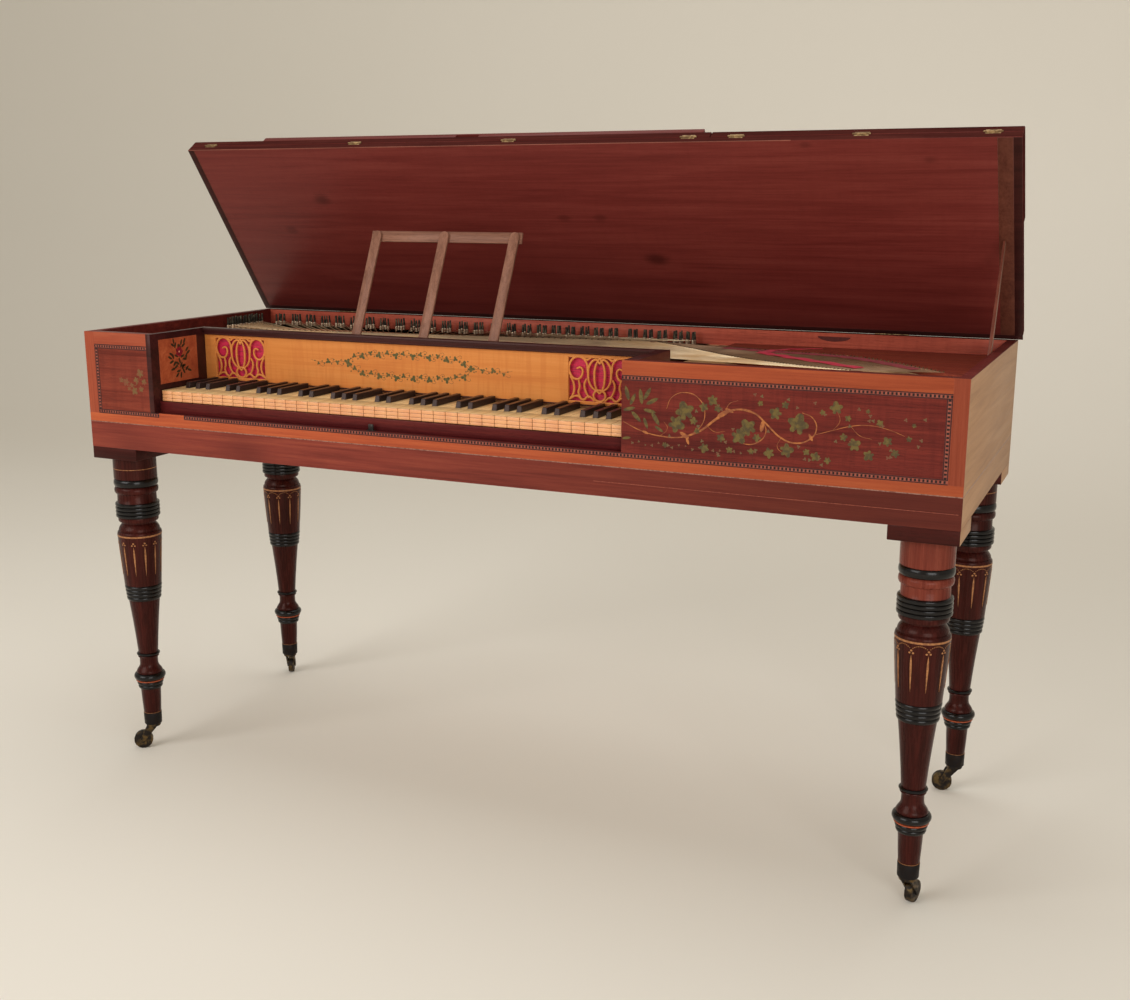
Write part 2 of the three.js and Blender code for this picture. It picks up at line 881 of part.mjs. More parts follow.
const corners = [
  ["front_left", 0, 0, 35],
  ["front_right", 1, 0, 255],
  ["back_right", 1, 1, 10],
  ["back_left", 0, 1, 300],
];
for (const [corner, atRight, atBack, heading] of corners) {
  const x = atRight ? caseLength - blockSide / 2 : blockSide / 2;
  const y = atBack ? caseDepth - blockSide / 2 : blockSide / 2;
  const stand = place(piano, x, y, 0);
  const half = blockSide / 2;
  mesh(`leg_block_${corner}`, block(-half, half, -half, half, blockBottom, caseBottom), "darkWood", stand);
  const post = place(stand, 0, 0, casterHeight);
  mesh(`leg_${corner}`, leg(), "leg", post);
  const swivel = place(stand, 0, 0, 0, `swivel_${corner}`);
  swivel.rotation.z = heading * rad;
  mesh(`caster_fork_${corner}`, fork(), "brass", swivel);
  const roll = place(swivel, -casterTrail, 0, wheelRadius, `roll_${corner}`);
  mesh(`caster_wheel_${corner}`, wheel(), "iron", roll);
}

// Lid: the main board turns on the back hinges and stands forward over the strings
const lidPivotY = caseDepth + hingeRadius;
const lidPivotZ = caseTop + lidGap + lidThickness / 2;
const lid = place(piano, 0, lidPivotY, lidPivotZ, "lid_pivot");
lid.rotation.x = -lidAngle * rad;
const lidBack = -hingeRadius - hingeClearance;
const lidFront = foldSetback - lidPivotY;
const lidLeft = -lidOverhang;
const lidRight = caseLength + lidOverhang;
mesh(
  "lid_main",
  block(lidLeft, lidRight, lidFront, lidBack, -lidThickness / 2, lidThickness / 2),
  "lid",
  lid,
);

// Two front flaps, folded right back on to the main board
const foldY = lidFront - foldClearance;
const foldZ = lidThickness / 2 + foldClearance;
const flapFront = -lidOverhang - (lidPivotY + foldY);
const flapRanges = [
  ["lid_flap_left", lidLeft, flapSplit - flapGap],
  ["lid_flap_right", flapSplit + flapGap, lidRight],
];
for (const [name, x0, x1] of flapRanges) {
  const fold = place(lid, 0, foldY, foldZ, "fold_pivot");
  fold.rotation.x = -Math.PI;
  const low = -foldClearance - lidThickness;
  mesh(name, block(x0, x1, flapFront, -foldClearance, low, -foldClearance), "lid", fold);
}

// The fall closes the keywell and folds flat under the left flap
const fallHang = place(lid, 0, foldY, foldZ);
fallHang.rotation.x = -Math.PI;
const fallAxisY = fallThickness + foldClearance + clearance - (lidPivotY + foldY);
const fallAxisZ = caseTop + lidGap - foldClearance - (lidPivotZ + foldZ);
const fallHinge = place(fallHang, 0, fallAxisY, fallAxisZ, "fall_pivot");
fallHinge.rotation.x = Math.PI / 2;

function fall() {
  const top = -foldClearance;
  const bottom = -(caseTop + lidGap - foldClearance - ledge - clearance);
  const inner = -foldClearance;
  const x0 = keywellLeft + fallSideGap;
  const x1 = keywellRight - fallSideGap;
  const board = block(x0, x1, inner - fallThickness, inner, bottom, top);
  const middle = inner - fallThickness / 2;
  const mortise = block(
    keyboardMiddle - lockLength / 2,
    keyboardMiddle + lockLength / 2,
    middle - lockWidth / 2,
    middle + lockWidth / 2,
    bottom - lockHeight,
    bottom + lockHeight,
  );
  return cut(board, [mortise]);
}
mesh("keyboard_fall", fall(), "lid", fallHinge);

// Back hinges: a leaf let on to the spine, and its knuckle
function backHinge(left) {
  const leaf = block(
    left,
    left + hingeLength,
    caseDepth,
    caseDepth + hingeLeaf,
    caseTop - hingeLeafHeight,
    lidPivotZ,
  );
  const knuckle = new THREE.CylinderGeometry(hingeRadius, hingeRadius, hingeLength, roundSegments);
  knuckle.rotateZ(Math.PI / 2).translate(left + hingeLength / 2, lidPivotY, lidPivotZ);
  return join([leaf, knuckle]);
}
mesh("lid_hinge_left", backHinge(hingeInset), "brass", piano);
mesh("lid_hinge_right", backHinge(caseLength - hingeInset - hingeLength), "brass", piano);

// Music desk: three uprights on the batten and a rail behind their tops
function roundedStrip(length, width, thickness) {
  const radius = width / 2;
  const points = [];
  for (let end = 0; end < 2; end += 1) {
    for (let step = 0; step <= stripEndSteps; step += 1) {
      const turn = (end + step / stripEndSteps) * Math.PI;
      points.push([radius * Math.cos(turn), (end ? 0 : length) + radius * Math.sin(turn)]);
    }
  }
  return alongY(outline(points), 0, thickness);
}

function deskGroup(x) {
  const seat = place(piano, x, deskPivotY, deskPivotZ, "desk_pivot");
  seat.rotation.x = -deskLean * rad;
  const tilt = place(seat, 0, 0, 0);
  tilt.rotation.y = deskSideAngle * rad;
  return tilt;
}

for (let index = 0; index < deskCount; index += 1) {
  const tilt = deskGroup(deskFirst + index * deskPitch);
  mesh(`desk_upright_${index + 1}`, roundedStrip(uprightLength, uprightWidth, uprightThickness), "deskWood", tilt);
  if (index === 0) {
    const top = place(tilt, 0, 0, uprightLength, "desk_rail_pivot");
    top.rotation.y = -deskSideAngle * rad;
    const y0 = uprightThickness + clearance;
    const rail = block(
      -deskRailEnd,
      (deskCount - 1) * deskPitch + deskRailEnd,
      y0,
      y0 + uprightThickness,
      -deskRailHeight / 2,
      deskRailHeight / 2,
    );
    mesh("desk_rail", rail, "deskWood", top);
  }
}

// Prop stick: turns on the right end wall, its tip just under the open lid
function stickLength() {
  const lidSlope = lidAngle * rad;
  const lean = stickAngle * rad;
  const footZ = caseTop - stickDrop;
  const normal = new THREE.Vector2(-Math.sin(lidSlope), -Math.cos(lidSlope));
  const face = new THREE.Vector2(lidPivotY, lidPivotZ).add(normal.clone().multiplyScalar(lidThickness / 2));
  const foot = new THREE.Vector2(caseDepth - stickFromBack, footZ).sub(face);
  const along = new THREE.Vector2(Math.cos(lean), Math.sin(lean));
  const across = new THREE.Vector2(-Math.sin(lean), Math.cos(lean)).multiplyScalar(stickWidth / 2);
  const nearest = foot.dot(normal) - Math.abs(across.dot(normal));
  return (nearest - stickTipGap) / -along.dot(normal);
}

const stickPivot = place(
  piano,
  rightInner - stickWallGap - stickThickness,
  caseDepth - stickFromBack,
  caseTop - stickDrop,
  "stick_pivot",
);
stickPivot.rotation.x = stickAngle * rad;
mesh(
  "prop_stick",
  block(0, stickThickness, -stickWidth / 2, stickLength(), -stickWidth / 2, stickWidth / 2),
  "mahogany",
  stickPivot,
);

// Set the origin at the middle of the footprint, on the floor
const bounds = new THREE.Box3().setFromObject(piano);
const centre = bounds.getCenter(new THREE.Vector3());
piano.position.set(-centre.x, -centre.y, -bounds.min.z);

export default group;
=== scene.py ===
"""Square piano: the dressed model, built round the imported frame.

Sizes are in millimetres from the left end of the case, its front and the floor,
unless a name says otherwise. The function at() turns them into the frame's metres.
"""
import json
import logging
import math
import random
from contextlib import contextmanager
from dataclasses import dataclass, field, replace
from enum import Enum
from functools import lru_cache
from typing import Callable, Iterable, Iterator, Sequence

import bpy
from mathutils import Matrix, Vector

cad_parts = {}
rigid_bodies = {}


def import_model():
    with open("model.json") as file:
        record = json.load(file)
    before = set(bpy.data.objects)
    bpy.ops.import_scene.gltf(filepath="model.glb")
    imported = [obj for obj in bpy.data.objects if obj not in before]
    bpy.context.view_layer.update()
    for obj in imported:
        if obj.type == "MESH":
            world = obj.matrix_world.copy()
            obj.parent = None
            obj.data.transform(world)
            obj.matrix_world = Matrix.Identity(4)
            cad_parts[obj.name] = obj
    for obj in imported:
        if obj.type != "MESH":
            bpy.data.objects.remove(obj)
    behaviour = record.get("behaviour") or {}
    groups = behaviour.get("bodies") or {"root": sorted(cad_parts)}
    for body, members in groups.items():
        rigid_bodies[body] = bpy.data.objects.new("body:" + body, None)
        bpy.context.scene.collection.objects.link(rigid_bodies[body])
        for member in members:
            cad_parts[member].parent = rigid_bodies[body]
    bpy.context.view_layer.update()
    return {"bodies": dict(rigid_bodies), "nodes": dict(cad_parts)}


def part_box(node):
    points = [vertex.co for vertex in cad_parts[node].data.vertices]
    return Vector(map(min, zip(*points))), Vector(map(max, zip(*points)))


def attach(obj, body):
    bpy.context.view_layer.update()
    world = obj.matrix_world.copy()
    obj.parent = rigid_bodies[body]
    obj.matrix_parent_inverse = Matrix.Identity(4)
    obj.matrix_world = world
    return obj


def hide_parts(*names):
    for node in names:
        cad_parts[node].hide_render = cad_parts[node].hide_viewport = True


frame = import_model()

log = logging.getLogger("square_piano")

MM = 0.001
CASE_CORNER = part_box("case_left_end")[0]
RIGHT, UP = Vector((1, 0, 0)), Vector((0, 0, 1))
WARM_SHINE = (1.0, 0.62, 0.5)
PLAIN_SHINE = 0.25
Colour = tuple[float, float, float]
Point = tuple[float, float]
Line = Sequence[Point]
Piece = bpy.types.Object
Operand = "Value | float"
FaceTest = Callable[[Vector, Vector], bool]


def at(x: float, y: float, z: float) -> Vector:
    """Turns case millimetres into the frame's metres."""
    return Vector((CASE_CORNER.x + x * MM, CASE_CORNER.y + y * MM, z * MM))


def tint(code: int) -> Colour:
    """Turns a screen colour, written as 0xRRGGBB, into the linear one that a shader takes."""
    parts = ((code >> shift & 255) / 255 for shift in (16, 8, 0))
    return tuple(p / 12.92 if p <= 0.04045 else ((p + 0.055) / 1.055) ** 2.4 for p in parts)


def scaled(colour: Colour, share: float, lift: float = 0.0) -> Colour:
    """Darkens or lightens a colour by a share, and lifts it by a little white."""
    return tuple(min(1, part * share + lift) for part in colour)


@dataclass(frozen=True)
class Box:
    """A box in case millimetres."""

    x0: float
    x1: float
    y0: float
    y1: float
    z0: float
    z1: float

    @classmethod
    def of(cls, node: str) -> "Box":
        """Measures the box of a node of the frame.

        Args:
            node: The node's name.

        Returns:
            Its box in case millimetres.
        """
        low, high = ((corner - CASE_CORNER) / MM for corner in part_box(node))
        floor = CASE_CORNER.z / MM
        return cls(low.x, high.x, low.y, high.y, low.z + floor, high.z + floor)


class Value:
    """A shader socket that takes part in Python arithmetic."""

    def __init__(self, shader: "Shader", socket: bpy.types.NodeSocket) -> None:
        """Keeps the socket and the shader that it belongs to."""
        self.shader = shader
        self.socket = socket

    def math(self, operation: str, first: Operand, second: Operand) -> "Value":
        """Adds a Math node on two values or numbers."""
        return self.shader.node("Math", {"operation": operation}, {0: first, 1: second})

    def __add__(self, other: Operand) -> "Value":
        """Adds."""
        return self.math("ADD", self, other)

    def __radd__(self, other: float) -> "Value":
        """Adds, with a number first."""
        return self.math("ADD", other, self)

    def __sub__(self, other: Operand) -> "Value":
        """Subtracts."""
        return self.math("SUBTRACT", self, other)

    def __rsub__(self, other: float) -> "Value":
        """Subtracts this value from a number."""
        return self.math("SUBTRACT", other, self)

    def __mul__(self, other: Operand) -> "Value":
        """Multiplies."""
        return self.math("MULTIPLY", self, other)

    def __rmul__(self, other: float) -> "Value":
        """Multiplies, with a number first."""
        return self.math("MULTIPLY", other, self)

    def __truediv__(self, other: Operand) -> "Value":
        """Divides."""
        return self.math("DIVIDE", self, other)

    def __rtruediv__(self, other: float) -> "Value":
        """Divides a number by this value."""
        return self.math("DIVIDE", other, self)

    def above(self, edge: float, width: float) -> "Value":
        """Rises smoothly from 0 to 1 over a width from an edge."""
        ends = {"Value": self, "From Min": edge, "From Max": edge + width}
        return self.shader.node("MapRange", {"interpolation_type": "SMOOTHSTEP"}, ends)


class Shader:
    """Builds the nodes of one material."""

    def __init__(self, name: str) -> None:
        """Starts a material with its Principled shader.

        Args:
            name: The material's name.
        """
        self.material = bpy.data.materials.new(name)
        self.material.use_nodes = True
        self.tree = self.material.node_tree
        self.bsdf = self.tree.nodes["Principled BSDF"]
        self.place = self.node("TexCoord", output="Object")

    def node(
        self,
        kind: str,
        settings: dict[str, object] | None = None,
        values: dict[str | int, object] | None = None,
        output: str | int = 0,
    ) -> Value:
        """Adds a node.

        Args:
            kind: The node's type, without the words ShaderNode.
            settings: The node's own settings; stops sets a ramp's colours.
            values: A number, colour or Value for each input.
            output: The output that is returned.

        Returns:
            The output as a Value.
        """
        made = self.tree.nodes.new("ShaderNode" + kind)
        for key, value in (settings or {}).items():
            if key == "stops":
                ramp = made.color_ramp
                while len(ramp.elements) < len(value):
                    ramp.elements.new(0.5)
                for element, (stop, colour) in zip(ramp.elements, value):
                    element.position, element.color = stop, (*colour, 1)
            else:
                setattr(made, key, value)
        for key, value in (values or {}).items():
            self.feed(made.inputs[key], value)
        return Value(self, made.outputs[output])

    def feed(self, socket: bpy.types.NodeSocket, value: object) -> None:
        """Links a Value to an input, or sets the input to a number or colour.

        Args:
            socket: The input.
            value: A Value, number, vector or colour.
        """
        if isinstance(value, Value):
            self.tree.links.new(value.socket, socket)
        elif isinstance(value, tuple) and len(socket.default_value) == 4:
            socket.default_value = (*value, 1)
        else:
            socket.default_value = value

    def mapped(self, scale: Sequence[float], turn: Sequence[float] = (0, 0, 0)) -> Value:
        """Scales the object's own coordinates, in repeats to a metre."""
        values = {"Vector": self.place, "Scale": tuple(scale), "Rotation": tuple(turn)}
        return self.node("Mapping", None, values)

    def noise(self, scale: Sequence[float] | float, detail: float = 3.0, drift: float = 0.0) -> Value:
        """Adds a noise of so many features to a metre, alike or along each axis.

        Args:
            scale: The features to a metre, one number or one for each axis.
            detail: The number of finer layers.
            drift: How far the pattern is bent.

        Returns:
            The noise, from 0 to 1.
        """
        vector = self.mapped(scale if isinstance(scale, tuple) else (scale,) * 3)
        values = {"Vector": vector, "Scale": 1.0, "Detail": detail, "Distortion": drift}
        return self.node("TexNoise", None, values)

    def vector(self, operation: str, first: object, second: object = None, output: str | int = 0) -> Value:
        """Adds a Vector Math node on one or two vectors."""
        values = {0: first} if second is None else {0: first, 1: second}
        return self.node("VectorMath", {"operation": operation}, values, output)

    def mix(self, share: Operand, first: object, second: object) -> Value:
        """Mixes two colours by a share."""
        settings = {"data_type": "RGBA", "clamp_factor": True}
        return self.node("Mix", settings, {0: share, 6: first, 7: second}, 2)

    def edges(self, radius: float) -> Value:
        """Finds the worn edges, from 0 on a flat face to 1 on an edge.

        Args:
            radius: How far from an edge the wear reaches, in metres.

        Returns:
            The share of wear.
        """
        soft = self.node("Bevel", {"samples": 6}, {"Radius": radius})
        hard = self.node("NewGeometry", output="Normal")
        return (1 - self.vector("DOT_PRODUCT", soft, hard, "Value")).above(0.01, 0.16)

    def bump(self, height: Value, depth: float, strength: float = 1.0) -> Value:
        """Turns a height from 0 to 1 into the normal of a relief, its depth in metres."""
        return self.node("Bump", None, {"Strength": strength, "Distance": depth, "Height": height})

    def finish(self, **inputs: object) -> bpy.types.Material:
        """Feeds the Principled shader, with _ for a space, and returns the material.

        Args:
            inputs: A number, colour or Value for each named input.

        Returns:
            The material.
        """
        for key, value in inputs.items():
            self.feed(self.bsdf.inputs[key.replace("_", " ")], value)
        return self.material


class Grain(Enum):
    """The axis along which a board's grain runs."""

    LENGTH = 0
    DEPTH = 1
    HEIGHT = 2


@dataclass(frozen=True)
class Finish:
    """What a piece is made of: the material's name and its slot in the record."""

    name: str
    slot: str


@dataclass(frozen=True)
class Wood(Finish):
    """Polished or bare timber with grain, pores, blotches and worn edges, and painted shade towards the
    right end where asked.
    """

    dark: int
    middle: int
    light: int
    grain: Grain = Grain.LENGTH
    figure: float = 0.0
    pores: float = 0.5
    blotch: float = 0.3
    wear: float = 0.25
    roughness: float = 0.42
    polish: float = 0.06
    knots: tuple[tuple[tuple[float, float, float], float], ...] = ()
    shine: float = PLAIN_SHINE
    # how far the board is darkened towards the right end: painted shade, as the light falls from the left
    fade: float = 0.0

    def like(self, name: str, *tones: int, **changes: object) -> "Wood":
        """Copies the timber under another name, with other tones from dark to light."""
        return replace(self, name=name, **dict(zip(("dark", "middle", "light"), tones)), **changes)

    def along(self, run: float, across: float) -> tuple[float, ...]:
        """Gives a scale that is stretched along the grain."""
        return tuple(run if axis == self.grain.value else across for axis in range(3))

    @lru_cache
    def material(self) -> bpy.types.Material:
        """Builds the timber's nodes.

        Returns:
            The material.
        """
        shader = Shader(self.name)
        dark, middle, light = (tint(code) for code in (self.dark, self.middle, self.light))
        # This deep brown darkens the knots, which are real, and also the painted shade towards the right.
        knot_and_shade_dark = scaled(dark, 0.3)
        broad = shader.noise(self.along(2.6, 48), 4, 0.9)
        streak = shader.noise(self.along(7, 310), 5, 0.3)
        pore = shader.noise(self.along(55, 1700), 2)
        cloud = shader.noise((3.1, 3.7, 4.3), 2, 0.5)
        stops = [(0.3, dark), (0.5, middle), (0.72, light)]
        colour = shader.node("ValToRGB", {"stops": stops}, {"Fac": broad * 0.6 + streak * 0.4}, "Color")
        if self.figure:
            ripple = shader.noise(self.along(105, 9), 2, 0.7)
            colour = shader.mix(ripple.above(0.45, 0.22) * self.figure, colour, dark)
        colour = shader.mix(cloud.above(0.5, 0.25) * self.blotch, colour, dark)
        # Painted shade: the board grows darker towards the right end, as the light falls from the left.
        if self.fade:
            right = shader.node("SeparateXYZ", None, {"Vector": shader.place}).above(-0.4, 1.2)
            colour = shader.mix(right * self.fade, colour, knot_and_shade_dark)
        for centre, size in self.knots:
            offset = shader.vector("MULTIPLY", shader.vector("SUBTRACT", shader.place, centre), (0.6, 1, 1))
            near = shader.vector("LENGTH", offset, output="Value") / size + (broad - 0.5) * 1.6
            colour = shader.mix((1 - near.above(0.3, 1.0)) * min(0.8, size * 40), colour, knot_and_shade_dark)
        hole = pore.above(0.56, 0.1) * self.pores
        colour = shader.mix(hole, colour, scaled(dark, 0.55))
        if self.wear:
            scuff = shader.edges(0.0016) * cloud.above(0.38, 0.3) * self.wear
            colour = shader.mix(scuff, colour, scaled(light, 1.5, 0.06))
        return shader.finish(
            Base_Color=colour,
            Roughness=self.roughness + (streak - 0.5) * 0.25 + hole * 0.15,
            Normal=shader.bump(streak * 0.3 - hole, 0.00035, 0.35),
            Coat_Weight=self.polish,
            Coat_Roughness=0.14,
            Specular_IOR_Level=self.shine,
            Specular_Tint=WARM_SHINE,
        )


@dataclass(frozen=True)
class Paint(Finish):
    """Thin oil paint, ink or lacquer, a little uneven."""

    colour: int
    shade: int
    roughness: float = 0.45
    polish: float = 0.2
    patch: float = 260.0
    wear: float = 0.0

    @lru_cache
    def material(self) -> bpy.types.Material:
        """Builds the paint's nodes.

        Returns:
            The material.
        """
        shader = Shader(self.name)
        patch = shader.noise(self.patch, 3, 0.4)
        crackle = shader.noise(self.patch * 6, 2)
        colour = shader.mix(patch.above(0.36, 0.3), tint(self.colour), tint(self.shade))
        if self.wear:
            worn = shader.edges(0.0014) * patch.above(0.42, 0.2) * self.wear
            colour = shader.mix(worn, colour, scaled(tint(self.colour), 3, 0.09))
        return shader.finish(
            Base_Color=colour,
            Roughness=self.roughness + (crackle - 0.5) * 0.2,
            Normal=shader.bump(crackle, 0.0002, 0.3),
            Coat_Weight=self.polish,
            Specular_IOR_Level=PLAIN_SHINE,
        )


@dataclass(frozen=True)
class Metal(Finish):
    """Brass, iron or wire with tarnish in patches."""

    bright: int
    tarnish: int
    roughness: float = 0.35
    spread: float = 0.4
    patch: float = 140.0

    @lru_cache
    def material(self) -> bpy.types.Material:
        """Builds the metal's nodes.

        Returns:
            The material.
        """
        shader = Shader(self.name)
        patch = shader.noise(self.patch, 4, 0.3)
        scratch = shader.noise((self.patch * 9, self.patch * 9, self.patch), 2)
        dull = patch.above(0.6 - self.spread / 2, 0.25)
        return shader.finish(
            Base_Color=shader.mix(dull, tint(self.bright), tint(self.tarnish)),
            Metallic=1 - dull * 0.35,
            Roughness=self.roughness + dull * 0.22 + (scratch - 0.5) * 0.15,
            Normal=shader.bump(scratch + patch, 0.0002, 0.25),
        )


@dataclass(frozen=True)
class Ivory(Finish):
    """Ivory plates or limewood fronts with fine lines and grime in the gaps."""

    light: int
    warm: int
    grime: int
    grime_share: float = 0.55

    @lru_cache
    def material(self) -> bpy.types.Material:
        """Builds the ivory's nodes.

        Returns:
            The material.
        """
        shader = Shader(self.name)
        line = shader.noise((900, 16, 900), 3, 0.2)
        each = shader.noise((41, 3, 3), 1)
        colour = shader.mix(line * 0.35 + each.above(0.3, 0.4) * 0.5, tint(self.light), tint(self.warm))
        smudge = shader.noise((70, 30, 70), 3, 0.5).above(0.55, 0.25) * 0.25
        edge = shader.edges(0.0009) * self.grime_share
        return shader.finish(
            Base_Color=shader.mix(smudge + edge, colour, tint(self.grime)),
            Roughness=0.3 + smudge,
            Normal=shader.bump(line, 0.0002, 0.25),
            Coat_Weight=0.08,
        )


@dataclass(frozen=True)
class Cloth(Finish):
    """Woven silk, ribbon or listing cloth with its threads in relief."""

    colour: int
    fold: int
    threads: float = 1900.0
    roughness: float = 0.62
    sheen: float = 0.3

    @lru_cache
    def material(self) -> bpy.types.Material:
        """Builds the weave.

        Returns:
            The material.
        """
        shader = Shader(self.name)
        values = {"Vector": shader.mapped((1, 1, 1), (0, 0, 0.78)), "Scale": self.threads / 20}
        warp = shader.node("TexWave", {"bands_direction": "X"}, values)
        weft = shader.node("TexWave", {"bands_direction": "Z"}, {**values, "Vector": shader.place})
        slub = shader.noise((60, 60, 420), 3, 0.3)
        weave = warp * 0.5 + weft * 0.5
        share = slub.above(0.4, 0.3) * 0.6 + weave * 0.2
        return shader.finish(
            Base_Color=shader.mix(share, tint(self.colour), tint(self.fold)),
            Roughness=self.roughness + (weave - 0.5) * 0.1,
            Normal=shader.bump(weave + slub, 0.0003, 0.5),
            Sheen_Weight=self.sheen,
            Sheen_Roughness=0.4,
        )


LID_KNOTS = (
    ((0.1577, 0.19, 0.9727), 0.017),
    ((0.0638, 0.1367, 1.0499), 0.009),
    ((-0.0099, 0.137, 1.0494), 0.009),
    ((-0.5359, 0.1134, 1.0836), 0.014),
    ((-0.6441, 0.1572, 1.0201), 0.009),
    ((0.4684, 0.0521, 1.1725), 0.008),
    ((0.6701, 0.0699, 1.1467), 0.008),
)

PANEL, LID, LEG, BAND, SATIN = "panel_mahogany", "lid_mahogany", "leg_mahogany", "crossbanding", "satinwood"
DARK, STEEL, KEY, SOFTWOOD, SILKEN = "dark_wood", "string_steel", "ivory_key", "softwood", "silk"

MAHOGANY = Wood("panel mahogany", PANEL, 0x481716, 0x67251F, 0x7D3127, figure=0.25, shine=0.18)
SLIP_WOOD = MAHOGANY.like("slip mahogany", 0x3C1112, 0x52191A, 0x662521, figure=0, shine=0.12)
BLOCK_WOOD = SLIP_WOOD.like("block mahogany", 0x280E0C, 0x3A1512, 0x481C18)
INNER_WOOD = MAHOGANY.like("inside mahogany", 0x461614, 0x62241E, figure=0)
SPINE_WOOD = MAHOGANY.like("spine mahogany", 0x863426, 0xA64A37, 0xB65C44)
SPINE_TOP = MAHOGANY.like("spine top", 0x321612, 0x421E19, roughness=0.8, polish=0.0, shine=0.0)
END_TOP = MAHOGANY.like("end top", 0x54201E, 0x682A26, 0x7A3830, shine=0.05, polish=0.0)
LEFT_FIELD = MAHOGANY.like("left field", 0x5C221A, 0x7C3426, 0x924430)
CHEEK_BACK = MAHOGANY.like("cheek back", 0x4C241E, 0x603228, 0x703E32)
BRIDGE_WOOD = MAHOGANY.like("bridge wood", 0x602C1C, 0x80422A, 0x945436, figure=0)
HITCH_WOOD = MAHOGANY.like("hitch block", 0x6E2D23, 0x8A3D2F, 0xAA583A, figure=0)
PLANK_WOOD = MAHOGANY.like("wrest plank", 0x804E38, 0xA46C50, 0xBA8464, figure=0, fade=0.3)
LID_WOOD = MAHOGANY.like(
    "lid mahogany", 0x5C211D, 0x6B2A25, 0x77342D, slot=LID, knots=LID_KNOTS,
    figure=0.08, pores=0.25, blotch=0.35, polish=0.02, shine=0.15,
)
LID_EDGE = LID_WOOD.like("lid edge", 0x381917, 0x4C231F, 0x5C2E28, shine=0.0, polish=0.0, wear=0.7)
LID_BORDER = LID_WOOD.like("lid border", 0x24100F, 0x321614, 0x3E1C19)
# A pale strip on the lid's front arris: a painted highlight of its lit edge.
ARRIS_HIGHLIGHT = LID_WOOD.like("painted arris highlight", 0x64342A, 0x864C3E, 0xA06250, knots=())
CLAMP_WOOD = LID_WOOD.like("lid clamp", 0x46221A, 0x5C3226, 0x6A3C2E, grain=Grain.DEPTH, blotch=0.6)
LEG_WOOD = Wood(
    "leg mahogany", LEG, 0x220A08, 0x34110E, 0x481A15, Grain.HEIGHT,
    pores=0.3, wear=0.1, roughness=0.27, shine=0.14,
)
WORN_LEG = LEG_WOOD.like("worn leg mahogany", 0x542019, 0x703226, 0x864434)
# The crossbanding and the plinth take painted shade towards the right end.
CROSSBAND = Wood("crossbanding", BAND, 0x923E26, 0xB05230, 0xC2643A, pores=0.2, blotch=0.6, fade=0.35)
CROSSBAND_LEFT = CROSSBAND.like("crossbanding left", 0x823624, 0x9C4830, 0xAE5A3E)
CROSSBAND_UPRIGHT = CROSSBAND_LEFT.like("crossbanding upright", grain=Grain.HEIGHT)
PLINTH = CROSSBAND.like("plinth mahogany", 0x5C211C, 0x80352A, 0x964633, blotch=0.8, fade=0.7)
FADED = Wood(
    "faded mahogany", "faded_mahogany", 0x9C7456, 0xB08866, 0xC09876, Grain.DEPTH,
    pores=0.12, blotch=0.2, roughness=0.55, polish=0.02,
)
FADED_BACK = FADED.like("faded spine", grain=Grain.LENGTH)
DARK_WOOD = Wood("dark moulding", DARK, 0x1E0B0B, 0x361414, 0x4A1E1B, pores=0.3, wear=0.6, polish=0.1)
SATINWOOD = Wood(
    "satinwood", SATIN, 0xC87438, 0xD68643, 0xDE924E, figure=0.4, pores=0.08, blotch=0.2, polish=0.1
)
CHEEK_WOOD = SATINWOOD.like("cheek veneer", 0x8C3E26, 0xA85232, 0xBC6842)
FRET_WOOD = SATINWOOD.like("fret", figure=0.1, wear=0.4)
# The soundboard spruce is painted very pale: painted light, standing in for sunlight on the soundboard and
# its bright reflection.
LIT_SPRUCE = Wood(
    "spruce", SOFTWOOD, 0xD2AC76, 0xE8C894, 0xF4DAAC,
    pores=0.1, blotch=0.2, wear=0.0, roughness=0.5, polish=0.15,
)
DEAL = LIT_SPRUCE.like("deal", 0x84603E, 0xA67E56, 0xBC9468)
LIMEWOOD = DEAL.like("limewood", slot=KEY, grain=Grain.DEPTH, light=0xD6B078)
NUT_WOOD = LIT_SPRUCE.like("nut", 0xAC8462, 0xCCA680, 0xDCBA96, fade=0.35)
DESK_WOOD = Wood(
    "desk strips", "desk_wood", 0x603E30, 0x845A48, 0x986E5A, Grain.HEIGHT,
    wear=0.3, roughness=0.55, polish=0.1,
)
RAIL_WOOD = DESK_WOOD.like("desk rail", grain=Grain.LENGTH)
STICK_WOOD = DESK_WOOD.like("prop stick", 0x52261C, 0x6C372A, 0x844838, slot=PANEL)
EBONY = Wood(
    "ebony", "ebony_key", 0x161111, 0x261D1C, 0x3A2E2A, Grain.DEPTH,
    pores=0.2, wear=0.75, roughness=0.36, polish=0.12,
)
BLACK = Paint("black lacquer", DARK, 0x0C0908, 0x120D0B, 0.22, 0.1, 60.0, 0.1)
HOLLY = Paint("chequer light", DARK, 0x94503E, 0x843E30, 0.6, 0.0)
HOLLY_EDGE = Paint("chequer edge", DARK, 0x321412, 0x421C19, 0.6, 0.0)
BLACK_LINE = Paint("chequer dark", DARK, 0x140C0C, 0x1E100E, 0.6, 0.0)
# A flat dark lens stands in for the spine's hollow finger grip: its darkness is painted shade.
SLOT_PAINTED_SHADE = Paint("finger slot painted shade", PANEL, 0x58241E, 0x4C1E19, 0.8, 0.0)
GILT = Paint("gilt line", LEG, 0xAC7446, 0x865430, 0.4)
RED_LINE = Paint("foot line", LEG, 0xB0522E, 0x8C4026, 0.4)
